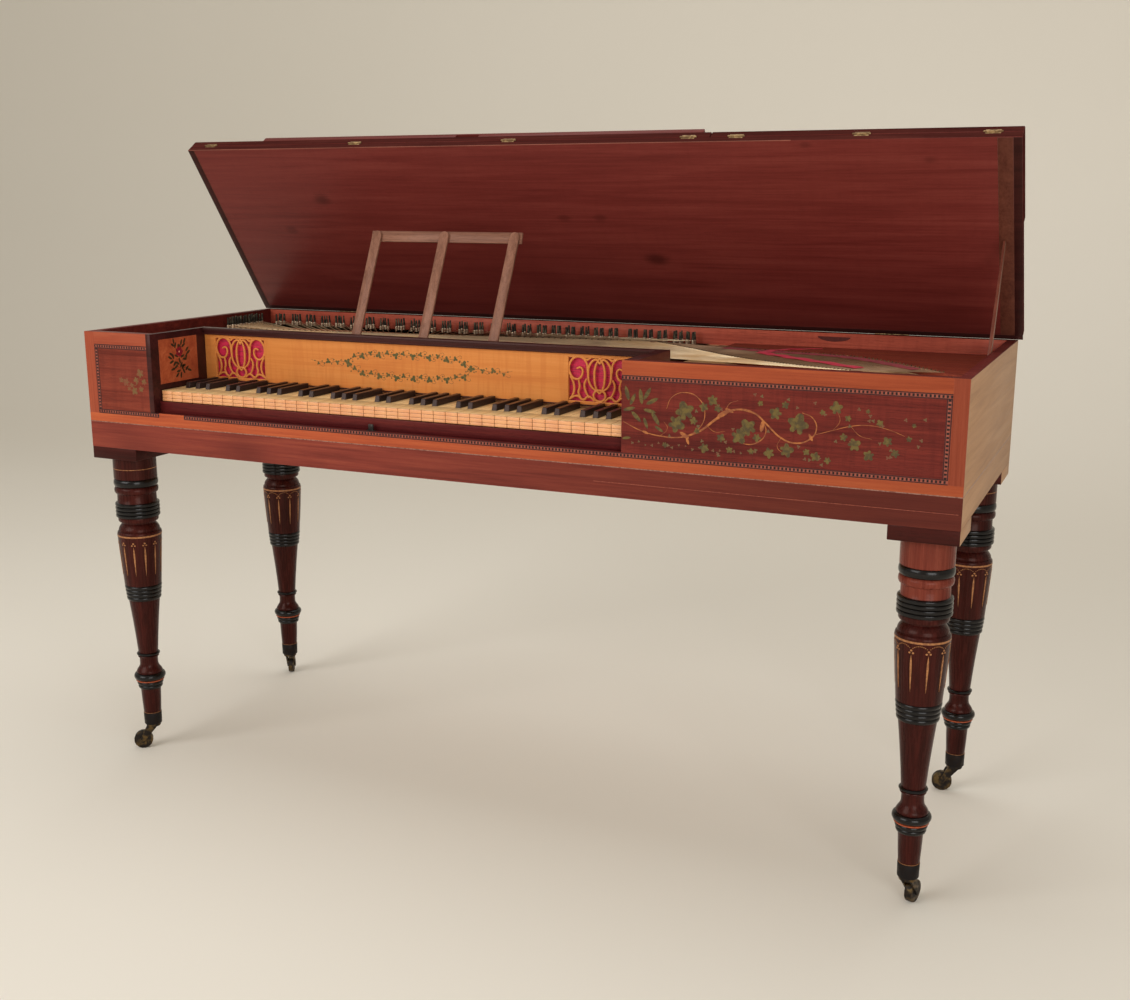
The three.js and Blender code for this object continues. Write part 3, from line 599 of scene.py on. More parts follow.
# A pale line at the small step above the plinth: partly the step's own line, partly a painted highlight of
# its lit edge.
STEP_LINE_AND_HIGHLIGHT = Paint("step line and highlight", BAND, 0x967060, 0x6E463A, 0.4, 0.3)
PLINTH_LINE = Paint("plinth stringing", BAND, 0x9E543C, 0x803C2E, 0.4, 0.3)
VINE_PAINT = Paint("painted vine", PANEL, 0xB06A36, 0x84482A, 0.5, 0.1, 120.0)
LEAF_PAINT = Paint("painted leaf", PANEL, 0x685628, 0x4A3C22, 0.5, 0.1, 130.0)
PALE_LEAF = Paint("painted pale leaf", PANEL, 0x645434, 0x70422E, 0.5, 0.1, 200.0)
FAINT_LEAF = Paint("painted faint leaf", PANEL, 0x70542E, 0x7E422C, 0.45, 0.1, 200.0)
IVY_PAINT = Paint("painted ivy", SATIN, 0x4A4C28, 0x705C2E)
INK = Paint("painted tendril", SATIN, 0x604024, 0x78542C, polish=0.4)
ROSE_PAINT = Paint("painted rose", SATIN, 0x8C1626, 0x600E24, polish=0.3)
BUD_PAINT = Paint("painted bud", SATIN, 0xE2B088, 0xC47860, polish=0.3)
SPRIG_PAINT = Paint("painted sprig", SATIN, 0x343018, 0x282216)
OLD_BRASS = Metal("old brass", "hinge_brass", 0xB09268, 0x785C3C, 0.45, 0.5)
CASTER_BRASS = Metal("caster brass", "caster_brass", 0x6C583A, 0x221B16, 0.35, 0.55, 90.0)
IRON = Metal("caster iron", "caster_iron", 0x4A4642, 0x28231F, 0.45, 0.5)
FERRULE = Metal("dark ferrule", "caster_iron", 0x2C2624, 0x1A1414, 0.42, 0.5, 90.0)
WIRE = Metal("string wire", STEEL, 0xA08268, 0x80644E, 0.5, 0.3, 12.0)
# The wire from the pins to the bridge is much brighter than the rest: a painted highlight for wire lit over
# the bright soundboard.
LIT_WIRE = Metal("bright string wire", STEEL, 0xFAE2BA, 0xD6B284, 0.42, 0.35, 9.0)
COIL_WIRE = Metal("coiled wire", STEEL, 0xCEB89E, 0xA88C74, 0.4, 0.2, 60.0)
PIN_IRON = Metal("tuning pin iron", STEEL, 0x504A3C, 0x2A251E, 0.5, 0.5)
STUD_BRASS = Metal("bridge pin", STEEL, 0x785C3C, 0x463424, 0.4, 0.5)
IVORY = Ivory("ivory plate", KEY, 0xE6C28A, 0xD8AA70, 0x7C502E)
KEY_FRONT = Ivory("key front", KEY, 0xEEAE76, 0xE09666, 0xA0543C, 0.7)
SILK = Cloth("crimson silk", SILKEN, 0xCE1846, 0x780A2A, sheen=0.1)
RIBBON = Cloth("ribbon", SILKEN, 0xD62446, 0xB41836, 1500.0, 0.5, 0.05)
LISTING = Cloth("listing cloth", SILKEN, 0x962630, 0x701822, 900.0, 0.85, 0.03)
ROOM_LIGHT, ROOM_SHADE, SKY = tint(0xEEE8DD), tint(0xEAE4D8), tint(0xF2EBDE)


def pick(*pieces: Piece) -> Piece:
    """Selects these pieces alone, makes the last one active and returns it.

    Args:
        pieces: The pieces to select.

    Returns:
        The last of them, now active.
    """
    bpy.ops.object.select_all(action="DESELECT")
    for piece in pieces:
        piece.select_set(True)
    bpy.context.view_layer.objects.active = pieces[-1]
    return pieces[-1]


@contextmanager
def faces(piece: Piece, test: FaceTest) -> Iterator[None]:
    """Opens a piece in edit mode with some faces selected.

    Args:
        piece: The piece to open.
        test: Says from a face's middle and normal whether it is selected.

    Yields:
        Nothing; the piece is closed again afterwards.
    """
    pick(piece)
    bpy.ops.object.mode_set(mode="EDIT")
    bpy.ops.mesh.select_mode(type="FACE")
    bpy.ops.mesh.select_all(action="DESELECT")
    bpy.ops.object.mode_set(mode="OBJECT")
    for face in piece.data.polygons:
        face.select = test(face.center, face.normal)
    bpy.ops.object.mode_set(mode="EDIT")
    yield
    bpy.ops.object.mode_set(mode="OBJECT")


def everywhere(middle: Vector, normal: Vector) -> bool:
    """Selects every face."""
    return True


def outward(piece: Piece) -> Piece:
    """Turns all faces of a piece outwards.

    Args:
        piece: The piece.

    Returns:
        The piece.
    """
    with faces(piece, everywhere):
        bpy.ops.mesh.normals_make_consistent(inside=False)
    return piece


def named(piece: Piece, name: str) -> Piece:
    """Gives a piece and its mesh a name."""
    piece.name = piece.data.name = name
    return piece


def linked(name: str, data: bpy.types.ID) -> Piece:
    """Adds an object with this data to the scene.

    Args:
        name: The object's name.
        data: Its mesh, curve, light or camera.

    Returns:
        The new object.
    """
    piece = bpy.data.objects.new(name, data)
    bpy.context.scene.collection.objects.link(piece)
    return piece


def primitive(kind: str, name: str, **settings: object) -> Piece:
    """Adds a cube, circle or grid as the start of a piece.

    Args:
        kind: What to add: cube, circle or grid.
        name: The piece's name.
        settings: The size, place and divisions that Blender takes.

    Returns:
        The new piece.
    """
    bpy.ops.object.select_all(action="DESELECT")
    getattr(bpy.ops.mesh, f"primitive_{kind}_add")(**settings)
    return named(bpy.context.object, name)


def modified(piece: Piece, kind: str, **settings: object) -> Piece:
    """Adds a modifier to a piece and applies it.

    Args:
        piece: The piece.
        kind: The modifier's type.
        settings: The modifier's own settings.

    Returns:
        The piece.
    """
    modifier = piece.modifiers.new(kind.lower(), kind)
    for key, value in settings.items():
        setattr(modifier, key, value)
    pick(piece)
    bpy.ops.object.modifier_apply(modifier=modifier.name)
    return piece


def eased(piece: Piece, edge: float, steps: int = 2, smooth: float = 30) -> Piece:
    """Rounds the edges of a piece and smooths its shading.

    Args:
        piece: The piece.
        edge: The width of the rounding in millimetres, or 0 for none.
        steps: The faces across the rounding.
        smooth: The angle in degrees below which faces shade as one.

    Returns:
        The piece.
    """
    if edge:
        angle = math.radians(30)
        modified(piece, "BEVEL", width=edge * MM, segments=steps, limit_method="ANGLE", angle_limit=angle)
    pick(piece)
    bpy.ops.object.shade_smooth_by_angle(angle=math.radians(smooth))
    return piece


def plate(name: str, box: Box, edge: float = 0.3, steps: int = 2) -> Piece:
    """Makes a board, strip or plate in a box, with rounded edges in so many steps.

    Args:
        name: The piece's name.
        box: The space that it fills.
        edge: The width of the rounding in millimetres.
        steps: The faces across the rounding.

    Returns:
        The piece.
    """
    low, high = at(box.x0, box.y0, box.z0), at(box.x1, box.y1, box.z1)
    piece = primitive("cube", name, size=1, location=(low + high) / 2)
    piece.scale = high - low
    bpy.ops.object.transform_apply(location=True, rotation=True, scale=True)
    return eased(piece, edge, steps)


def joined(name: str, pieces: Sequence[Piece]) -> Piece:
    """Joins several pieces into one.

    Args:
        name: The name of the whole.
        pieces: The pieces.

    Returns:
        The whole.
    """
    pick(*pieces)
    if len(pieces) > 1:
        bpy.ops.object.join()
    return named(bpy.context.object, name)


def copies(name: str, pattern: Piece, places: Iterable[Matrix]) -> Piece:
    """Copies a piece to many places, joins the copies and removes the pattern.

    Args:
        name: The name of the whole.
        pattern: The piece that is copied.
        places: Where each copy goes.

    Returns:
        The joined copies.
    """
    made = [linked(name, moved_mesh(pattern.data.copy(), place)) for place in places]
    bpy.data.objects.remove(pattern)
    return joined(name, made)


def moved_mesh(mesh: bpy.types.Mesh, place: Matrix) -> bpy.types.Mesh:
    """Puts a mesh in its place."""
    mesh.transform(place)
    return mesh


def moved(piece: Piece, place: Matrix) -> Piece:
    """Puts a piece in its place."""
    moved_mesh(piece.data, place)
    return piece


def refined(node: str, edge: float = 0.5, cut_above: float | None = None) -> Piece:
    """Copies a node of the frame, merges it and rounds its edges.

    Args:
        node: The node of the frame.
        edge: The rounding in millimetres.
        cut_above: The height over the floor above which it is cut away, if any.

    Returns:
        The new piece.
    """
    mesh = frame["nodes"][node].data.copy()
    piece = named(linked(node, mesh), "dressed_" + node)
    with faces(piece, everywhere):
        bpy.ops.mesh.customdata_custom_splitnormals_clear()
        bpy.ops.mesh.remove_doubles(threshold=1e-5)
        bpy.ops.mesh.dissolve_limited(angle_limit=math.radians(0.5))
        bpy.ops.mesh.select_all(action="SELECT")
        if cut_above is not None:
            level = at(0, 0, cut_above)
            bpy.ops.mesh.bisect(plane_co=level, plane_no=(0, 0, 1), clear_outer=True, use_fill=True)
    return eased(piece, edge)


def dress(
    piece: Piece, finish: Finish, body: str = "case", stands_for: Sequence[str] = ()
) -> Piece:
    """Finishes a piece and hangs it on a body.

    Args:
        piece: The piece.
        finish: What it is made of.
        body: The body that it moves with.
        stands_for: The nodes of the frame that it replaces.

    Returns:
        The piece.
    """
    piece.data.materials.clear()
    piece.data.materials.append(finish.material())
    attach(piece, body)
    if stands_for:
        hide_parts(*stands_for)
    log.info("%s: %s, %d faces, on %s", piece.name, finish.name, len(piece.data.polygons), body)
    return piece


def dress_node(
    node: str, edge: float, finish: Finish, body: str = "case", cut_above: float | None = None
) -> Piece:
    """Refines a node of the frame and dresses the result in its place."""
    return dress(refined(node, edge, cut_above), finish, body, [node])


def veneer(piece: Piece, finish: Finish, test: FaceTest) -> Piece:
    """Gives the faces that pass a test another finish.

    Args:
        piece: The piece.
        finish: The finish of those faces.
        test: Says from a face's middle and normal whether it gets the finish.

    Returns:
        The piece.
    """
    piece.data.materials.append(finish.material())
    with faces(piece, test):
        piece.active_material_index = len(piece.data.materials) - 1
        bpy.ops.object.material_slot_assign()
    return piece


@dataclass(frozen=True)
class Ground:
    """A flat surface that carries inlay, painting or fretwork."""

    corner: Vector
    across: Vector = field(default_factory=RIGHT.copy)
    up: Vector = field(default_factory=UP.copy)

    def spot(self, u: float, v: float, turn: float = 0.0, size: float = 1.0, lift: float = 0.0) -> Matrix:
        """Gives the place of a flat piece on this surface.

        Args:
            u: Millimetres across.
            v: Millimetres up.
            turn: Degrees anticlockwise.
            size: The piece's scale, on top of millimetres.
            lift: Millimetres out from the surface.

        Returns:
            A matrix that takes the flat piece there.
        """
        out = self.across.cross(self.up)
        shift = self.corner + (self.across * u + self.up * v + out * lift) * MM
        axes = Matrix((self.across, self.up, out)).transposed().to_4x4()
        turned_axes = Matrix.Translation(shift) @ axes @ Matrix.Rotation(math.radians(turn), 4, "Z")
        return turned_axes @ Matrix.Scale(size * MM, 4)

    def spots(self, marks: Iterable[Sequence[float]], lift: float = 0.0) -> list[Matrix]:
        """Gives the places of many marks at (across, up, turn, size), each lifted a hair over the last."""
        return [self.spot(*mark, lift=lift + LAYER * (index % 4)) for index, mark in enumerate(marks)]


def thickened(piece: Piece, depth: float) -> Piece:
    """Gives a flat sheet its thickness, half on each side."""
    return modified(piece, "SOLIDIFY", thickness=depth, offset=0.0)


def lobed(radii: Sequence[float], stretch: float = 1.0, depth: float = 0.01) -> Piece:
    """Makes a flat leaf or petal of unit size from a disc.

    Args:
        radii: The reach of the outline at even steps from the tip.
        stretch: Its width as a share of its length.
        depth: Its thickness as a share of its length.

    Returns:
        The leaf, its tip towards +Y.
    """
    leaf = primitive("circle", "leaf", vertices=len(radii), radius=0.5, fill_type="NGON")
    for corner, reach in zip(leaf.data.vertices, radii):
        corner.co = (corner.co.x * reach * stretch, corner.co.y * reach, 0)
    return thickened(leaf, depth)


def as_mesh(name: str, data: bpy.types.Curve) -> Piece:
    """Adds a curve to the scene as a mesh.

    Args:
        name: The piece's name.
        data: The curve.

    Returns:
        The piece.
    """
    pick(linked(name, data))
    bpy.ops.object.convert(target="MESH")
    return bpy.context.object


def stroke(
    points: Line,
    width: float,
    depth: float = 0.12,
    taper: float = 0.0,
    closed: bool = False,
    sawn: bool = False,
) -> Piece:
    """Draws a smooth line through points, in millimetres, and makes it a mesh.

    Args:
        points: The points on the flat.
        width: Its width.
        depth: Its height over the flat, half of it below.
        taper: How much narrower its ends are, from 0 to 1.
        closed: Whether it joins up.
        sawn: Whether its sides are square to the flat instead of rounded.

    Returns:
        The line as a mesh on the flat.
    """
    data = bpy.data.curves.new("stroke", "CURVE")
    data.dimensions = "2D"
    data.fill_mode = "NONE"
    data.bevel_depth, data.bevel_resolution, data.resolution_u = width / 2, 1, 6
    data.extrude = width if sawn else 0
    data.use_fill_caps = True
    spline = data.splines.new("BEZIER")
    last = len(points) - 1
    spline.bezier_points.add(last)
    for index, (knot, (u, v)) in enumerate(zip(spline.bezier_points, points)):
        knot.co = (u, v, 0)
        knot.handle_left_type = knot.handle_right_type = "AUTO"
        knot.radius = 1 - taper * abs(2 * index / last - 1) ** 1.5
    spline.use_cyclic_u = closed
    piece = as_mesh("stroke", data)
    piece.data.transform(Matrix.Diagonal((1, 1, depth / (3 * width if sawn else width), 1)))
    return piece


def drawn(
    name: str, ground: Ground, lines: Sequence[Piece], finish: Finish, lift: float = 0.0
) -> Piece:
    """Joins flat lines, lays them on a surface of the case and finishes them."""
    return dress(moved(joined(name, lines), ground.spot(0, 0, lift=lift)), finish)


def turned(name: str, profile: Line, sides: int = 32) -> Piece:
    """Turns a profile round the Z axis, closed at both ends.

    Args:
        name: The piece's name.
        profile: Radius and height in millimetres, from the foot up.
        sides: The faces round the turning.

    Returns:
        The turning, in metres, with its axis on Z.
    """
    radius, level = profile[0]
    start = {"radius": radius * MM, "location": (0, 0, level * MM)}
    piece = primitive("circle", name, vertices=sides, fill_type="NGON", **start)
    bpy.ops.object.transform_apply(location=True, rotation=True, scale=True)
    with faces(piece, everywhere):
        for wider, higher in profile[1:]:
            rise = {"value": (0, 0, (higher - level) * MM)}
            bpy.ops.mesh.extrude_region_move(TRANSFORM_OT_translate=rise)
            share = wider / radius
            bpy.ops.transform.resize(value=(share, share, 1), center_override=(0, 0, higher * MM))
            radius, level = wider, higher
        bpy.ops.mesh.select_all(action="SELECT")
        bpy.ops.mesh.normals_make_consistent(inside=False)
    return eased(piece, 0, smooth=40)


def bead(start: float, end: float, low: float, high: float, swell: float, steps: int = 6) -> list[Point]:
    """Gives the profile of a rounded member between two heights.

    Args:
        start: The height at which it begins.
        end: The height at which it ends.
        low: The radius at its start.
        high: The radius at its end.
        swell: How far it bulges beyond them.
        steps: The faces along its curve.

    Returns:
        Points of radius and height.
    """
    shares = [step / steps for step in range(steps + 1)]
    turns = [math.pi * share for share in shares]
    return [
        (low + (high - low) * t + swell * math.sin(turn), start + (end - start) * (1 - math.cos(turn)) / 2)
        for t, turn in zip(shares, turns)
    ]


def sweep(name: str, left: Line, right: Line, z0: float, z1: float) -> Piece:
    """Makes a curved bar from the plan of its two sides.

    Args:
        name: The piece's name.
        left: Points of one side in case millimetres.
        right: Points of the other side.
        z0: Its underside over the floor.
        z1: Its top over the floor.

    Returns:
        The bar.
    """
    last = len(left) - 1
    piece = primitive("grid", name, x_subdivisions=last, y_subdivisions=1, size=2)
    for corner in piece.data.vertices:
        side = left if corner.co.y < 0 else right
        x, y = side[round((corner.co.x + 1) / 2 * last)]
        corner.co = at(x, y, (z0 + z1) / 2)
    return outward(thickened(piece, (z1 - z0) * MM))


def shifted(line: Iterable[Point], dx: float, dy: float) -> list[Point]:
    """Moves a line in plan."""
    return [(x + dx, y + dy) for x, y in line]


def round_steps(count: int, extra: int = 0) -> list[float]:
    """Gives even angles round a full turn."""
    return [step * math.tau / count for step in range(count + extra)]


def through(points: Line, count: int) -> list[Point]:
    """Runs a smooth line through points, even along its parameter.

    Args:
        points: The points, in order.
        count: How many points to return.

    Returns:
        Points on a centripetal curve through the given ones.
    """
    knots = [Vector(p) for p in points]
    knots = [2 * knots[0] - knots[1], *knots, 2 * knots[-1] - knots[-2]]
    found = []
    for step in range(count):
        along = step / (count - 1) * (len(points) - 1)
        index = min(int(along), len(points) - 2)
        t = along - index
        p0, p1, p2, p3 = knots[index : index + 4]
        d0, d1, d2 = (max((b - a).length ** 0.5, 1e-6) for a, b in ((p0, p1), (p1, p2), (p2, p3)))
        m1 = ((p1 - p0) / d0 - (p2 - p0) / (d0 + d1) + (p2 - p1) / d1) * d1
        m2 = ((p2 - p1) / d1 - (p3 - p1) / (d1 + d2) + (p3 - p2) / d2) * d1
        a = 2 * (p1 - p2) + m1 + m2
        b = 3 * (p2 - p1) - 2 * m1 - m2
        point = p1 + t * (m1 + t * (b + t * a))
        found.append((point.x, point.y))
    return found


def at_share(points: Line, share: float) -> Vector:
    """Finds the point at a share of an evenly stepped line.

    Args:
        points: The line.
        share: The way along it, from 0 to 1.

    Returns:
        The point.
    """
    along = share * (len(points) - 1)
    index = min(int(along), len(points) - 2)
    return Vector(points[index]).lerp(Vector(points[index + 1]), along - index)


LAYER = 0.01
FRONT = Ground(at(0, 0, 0))
VINE_LEAF = (
    *(1.05, 1.0, 0.78, 0.62, 0.84, 1.0, 0.98, 0.7, 0.6, 0.86, 0.94, 0.8),
    *(0.4, 0.8, 0.94, 0.86, 0.6, 0.7, 0.98, 1.0, 0.84, 0.62, 0.78, 1.0),
)
TREFOIL = (1.1, 1.0, 0.62, 0.5, 0.8, 1.05, 1.0, 0.7, 0.3, 0.7, 1.0, 1.05, 0.8, 0.5, 0.62, 1.0)
POINTED = (1.0, 0.86, 0.8, 0.84, 0.9, 0.84, 0.8, 0.86)
ROUND_LEAF = (0.9, 1.0, 0.96, 0.9, 0.62, 0.9, 0.96, 1.0)


@dataclass
class Casework:
    """The shallow case: bottom, ends, spine and the veneered and inlaid front."""

    core_setback: float = 0.7
    veneer_face: float = 0.35
    veneer_back: float = 1.4
    inlay_face: float = 0.15
    line_lift: float = 0.08
    leaf_lift: float = 0.06
    border: float = 22.5
    band: float = 8.0
    line_low: float = 673.0
    line_high: float = 674.4
    pale_line: float = 648.0
    pale_line_start: float = 1040.0
    column: float = 2.95
    rows: tuple[float, ...] = (1.6, 0.5, 3.8, 0.5, 1.6)
    missing: Point = (166.0, 224.0)
    slot: Point = (1287.0, 836.0)
    left_end: Box = field(default_factory=lambda: Box.of("case_left_end"))
    right_end: Box = field(default_factory=lambda: Box.of("case_right_end"))
    left: Box = field(default_factory=lambda: Box.of("front_panel_left"))
    right: Box = field(default_factory=lambda: Box.of("front_panel_right"))

    def build(self) -> None:
        """Builds the whole case."""
        self.boards()
        self.front_veneers()
        self.bands()
        self.end_lines()
        self.left_sprig()
        self.right_scroll()

    def core(self, node: str, box: Box, edge: float, finish: Finish) -> Piece:
        """Builds the board under a veneered face, set back from the front."""
        board = plate("dressed_" + node, replace(box, y0=self.core_setback), edge)
        return dress(board, finish, stands_for=[node])

    def boards(self) -> None:
        """Builds the boards under the veneer, and the plain ones."""
        top = self.left.z1
        dress_node("bottom_board", 0.8, DEAL)
        spine = dress_node("case_back", 0.4, FADED_BACK)
        veneer(spine, SPINE_WOOD, lambda middle, normal: normal.y < -0.5)
        veneer(spine, SPINE_TOP, lambda middle, normal: normal.z > 0.2)
        for node, box, side in (("case_left_end", self.left_end, 1), ("case_right_end", self.right_end, -1)):
            end = self.core(node, replace(box, z1=top - 0.6), 0.9, FADED)

            def is_inner(middle: Vector, normal: Vector, side: int = side) -> bool:
                """Picks the faces on the inside and on top."""
                return normal.x * side > 0.5 or normal.z > 0.5

            veneer(end, INNER_WOOD, is_inner)
            edging = Box(box.x0, box.x1, 1.2, box.y1, top - 0.8, top)
            dress(plate(node + "_edging", edging, 0.4), END_TOP)
        self.core("front_panel_left", self.left, 0.6, INNER_WOOD)
        self.core("front_panel_right", self.right, 0.6, INNER_WOOD)
        self.core("front_rail", replace(Box.of("front_rail"), z1=self.left.z0), 0.5, SLIP_WOOD)

    def facing(self, name: str, x0: float, x1: float, z0: float, z1: float, finish: Finish) -> None:
        """Lays one piece of veneer on the front."""
        dress(plate(name, Box(x0, x1, self.veneer_face, self.veneer_back, z0, z1), 0.08, 1), finish)

    def front_veneers(self) -> None:
        """Lays the crossbanding, the fields, the plinth and its lines; the line at the plinth's top step is
        pale partly as a painted highlight.
        """
        end, top, foot = self.right_end.x1, self.left.z1, self.left.z0
        cap, low, inner = top - self.border, foot - self.band, self.border + self.band
        self.facing("crossband_low", 0, end, self.line_high, low, CROSSBAND)
        self.facing("crossband_left_top", self.border, self.left.x1, cap, top, CROSSBAND_LEFT)
        self.facing("crossband_right_top", self.right.x0, end - self.border, cap, top, CROSSBAND)
        self.facing("crossband_left_end", 0, self.border, low, top, CROSSBAND_UPRIGHT)
        self.facing("crossband_right_end", end - self.border, end, low, top, CROSSBAND_UPRIGHT)
        self.facing("field_left", inner, self.left.x1, foot, cap - self.band, LEFT_FIELD)
        self.facing("field_right", self.right.x0, end - inner, foot, cap - self.band, MAHOGANY)
        self.facing("plinth", 0, end, self.left_end.z0, self.line_low, PLINTH)
        face = self.inlay_face + 0.1
        # The pale line at the plinth's top step is partly a painted highlight of its lit edge.
        line = Box(0, end, face, self.veneer_back, self.line_low, self.line_high)
        dress(plate("plinth_step_line_highlight", line, 0.1, 1), STEP_LINE_AND_HIGHLIGHT)
        faint = Box(self.pale_line_start, end - 5, face, 1.0, self.pale_line, self.pale_line + 0.7)
        dress(plate("plinth_stringing", faint, 0.1, 1), PLINTH_LINE)

    def chequer(self, name: str, x: float, z: float, length: float, upright: bool = False) -> None:
        """Inlays a band of light and dark squares between dark lines.

        Args:
            name: The piece's name.
            x: Its lower left corner across the front.
            z: Its lower left corner over the floor.
            length: Its length.
            upright: Whether it runs up instead of across.
        """
        columns, rows = round(length / self.column), len(self.rows)
        piece = primitive("grid", name, x_subdivisions=columns, y_subdivisions=rows, size=1)
        levels = [sum(self.rows[:count]) for count in range(rows + 1)]
        for corner in piece.data.vertices:
            row = round((corner.co.y + 0.5) * rows)
            corner.co = ((corner.co.x + 0.5) * length, levels[row] * self.band / levels[-1], 0)
        dress(piece, HOLLY)
        middle = self.band / 2
        veneer(piece, HOLLY_EDGE, lambda centre, normal: abs(centre.y - middle) > middle - self.rows[0])

        def is_dark(centre: Vector, normal: Vector) -> bool:
            """Picks every other square of the middle row."""
            even = int(centre.x / length * columns) % 2 == 0
            return even and abs(centre.y - middle) < self.rows[2] / 2

        veneer(piece, BLACK_LINE, is_dark)
        thickened(piece, 0.25)
        start, turn = (x + self.band, 90) if upright else (x, 0)
        moved(piece, FRONT.spot(start, z, turn, lift=-self.inlay_face - 0.12))

    def bands(self) -> None:
        """Inlays the chequered bands round the two fields and under the keys."""
        foot, top = self.left.z0, self.left.z1
        low, cap = foot - self.band, top - self.border - self.band
        start, end = self.border, self.right_end.x1 - self.border
        gap, past = self.missing
        self.chequer("chequer_low_left", start, low, gap - start)
        self.chequer("chequer_low", past, low, end - past)
        self.facing("chequer_patch", gap + 0.2, past - 0.2, low, foot, CROSSBAND)
        self.chequer("chequer_left_top", start, cap, self.left.x1 - start)
        self.chequer("chequer_right_top", self.right.x0, cap, end - self.right.x0)
        self.chequer("chequer_left", start, foot, cap - foot, True)
        self.chequer("chequer_right", end - self.band, foot, cap - foot, True)

    def end_lines(self) -> None:
        """Carries the plinth's pale line, partly a painted highlight, round both ends, and lays a dark lens
        on the spine for its finger grip, its darkness painted shade.
        """
        for name, box, out in (("left", self.left_end, -1), ("right", self.right_end, 1)):
            face = box.x1 if out > 0 else box.x0
            span = sorted((face - 0.4 * out, face + 0.12 * out))
            # Pale line on each end: partly a painted highlight of the step's lit edge.
            line = Box(*span, 0.6, box.y1, self.line_low, self.line_high)
            dress(plate(f"end_line_{name}", line, 0.1, 1), STEP_LINE_AND_HIGHLIGHT)
        x, z = self.slot
        # The slot is not cut: a flat dark lens, its colour painted shade of the hollow.
        lens = lobed((0.05, 0.2, 0.8, *[1.0] * 9, 0.8, 0.2), 62.0, 0.5)
        for corner in lens.data.vertices:
            corner.co.y = min(corner.co.y, 0.0) * 18
        moved(lens, Ground(at(x, Box.of("case_back").y0 - 0.05, z)).spot(0, 0))
        dress(named(lens, "spine_slot_shade"), SLOT_PAINTED_SHADE)

    def lines(self, name: str, strokes: Sequence[Piece], finish: Finish) -> None:
        """Paints lines on the front."""
        drawn(name, FRONT, strokes, finish, -self.inlay_face - self.line_lift)

    def leaves(
        self,
        name: str,
        outline: Sequence[float],
        spots: Sequence[tuple],
        finish: Finish,
        stretch: float = 1.0,
    ) -> None:
        """Paints leaves on the front at (across, height, turn, size)."""
        places = FRONT.spots(spots, -self.inlay_face - self.leaf_lift)
        dress(copies(name, lobed(outline, stretch), places), finish)

    def left_sprig(self) -> None:
        """Paints a few faint leaves on the left field."""
        spots = [
            (128, 770, 30, 17), (118, 757, 100, 13), (94, 752, 60, 16), (82, 756, 140, 11),
            (106, 747, 10, 10), (128, 741, -70, 12), (112, 737, -130, 16), (136, 754, -20, 12),
            (100, 741, 150, 8),
        ]
        self.leaves("painted_left_leaves", VINE_LEAF, spots, FAINT_LEAF)
        stem = stroke([(84, 752), (104, 746), (118, 749), (128, 766)], 0.9, taper=0.5)
        self.lines("painted_left_stem", [stem], FAINT_LEAF)

    def right_scroll(self) -> None:
        """Paints the foliage scroll on the right field."""
        vine = [
            (1090, 748), (1118, 736), (1152, 729), (1188, 730), (1216, 741), (1244, 763), (1272, 778),
            (1300, 775), (1322, 758), (1342, 741), (1364, 734), (1386, 741), (1396, 757), (1390, 773),
            (1374, 780),
        ]
        ring = [(1192, 731), (1214, 744), (1224, 768), (1214, 791), (1192, 799), (1170, 790), (1162, 772)]
        hook = [(1312, 768), (1320, 748), (1308, 731), (1288, 727), (1276, 733)]
        twig = [(1392, 748), (1420, 757), (1446, 765), (1472, 768), (1500, 764), (1524, 756)]
        curls = [
            [(1420, 757), (1430, 772), (1424, 788)], [(1446, 765), (1460, 752), (1478, 748)],
            [(1226, 752), (1240, 742), (1256, 744)], [(1344, 741), (1338, 726), (1350, 716)],
            [(1152, 729), (1164, 742), (1158, 752)], [(1256, 771), (1262, 786), (1276, 792)],
        ]
        main = [(vine, 3.0, 0.16, 0.6), (hook, 2.2, 0.14, 0.7), (vine[3:8], 4.2, 0.18, 0.7)]
        self.lines("painted_vine", [stroke(*line) for line in main], VINE_PAINT)
        thin = [(ring, 1.6), (twig, 1.2), *[(curl, 0.9) for curl in curls]]
        self.lines("painted_tendrils", [stroke(line, width, 0.12, 0.5) for line, width in thin], VINE_PAINT)
        husks = [
            (1192, 733, 60, 19), (1197, 725, -160, 13), (1252, 770, -60, 22), (1262, 776, -110, 15),
            (1314, 756, 170, 20), (1388, 744, 30, 13), (1128, 733, 70, 12),
        ]
        self.leaves("painted_husks", POINTED, husks, VINE_PAINT, 0.42)
        large = [
            (1192, 770, 20, 31), (1178, 750, -110, 28), (1292, 752, 35, 27), (1278, 738, -140, 25),
            (1368, 762, -15, 33), (1334, 776, 60, 20), (1236, 790, 150, 17), (1352, 722, -80, 22),
            (1326, 716, 100, 17), (1424, 790, 10, 20), (1452, 738, -60, 20), (1474, 724, 140, 17),
        ]
        self.leaves("painted_large_leaves", VINE_LEAF, large, LEAF_PAINT)
        chance = random.Random(11)
        middling = [
            (1222, 779, 15), (1244, 778, 12), (1250, 733, 14), (1224, 716, 16), (1306, 738, 13),
            (1348, 790, 12), (1396, 716, 15), (1414, 712, 11), (1382, 722, 11), (1436, 748, 12),
            (1500, 746, 15), (1512, 730, 13), (1488, 772, 11), (1530, 752, 9), (1536, 772, 7),
            (1404, 782, 9), (1206, 756, 13), (1470, 788, 7), (1310, 790, 9), (1264, 716, 11),
            (1442, 776, 10), (1298, 716, 10), (1160, 716, 9), (1212, 741, 10),
        ]
        spots = [(u, v, chance.uniform(0, 360), size) for u, v, size in middling]
        self.leaves("painted_leaves", VINE_LEAF, spots, LEAF_PAINT)
        small = [
            (u + chance.uniform(-19, 19), v + chance.uniform(-15, 15), chance.uniform(0, 360), 5.5)
            for u, v, size in middling
            for _ in range(2)
        ]
        for n in range(19):
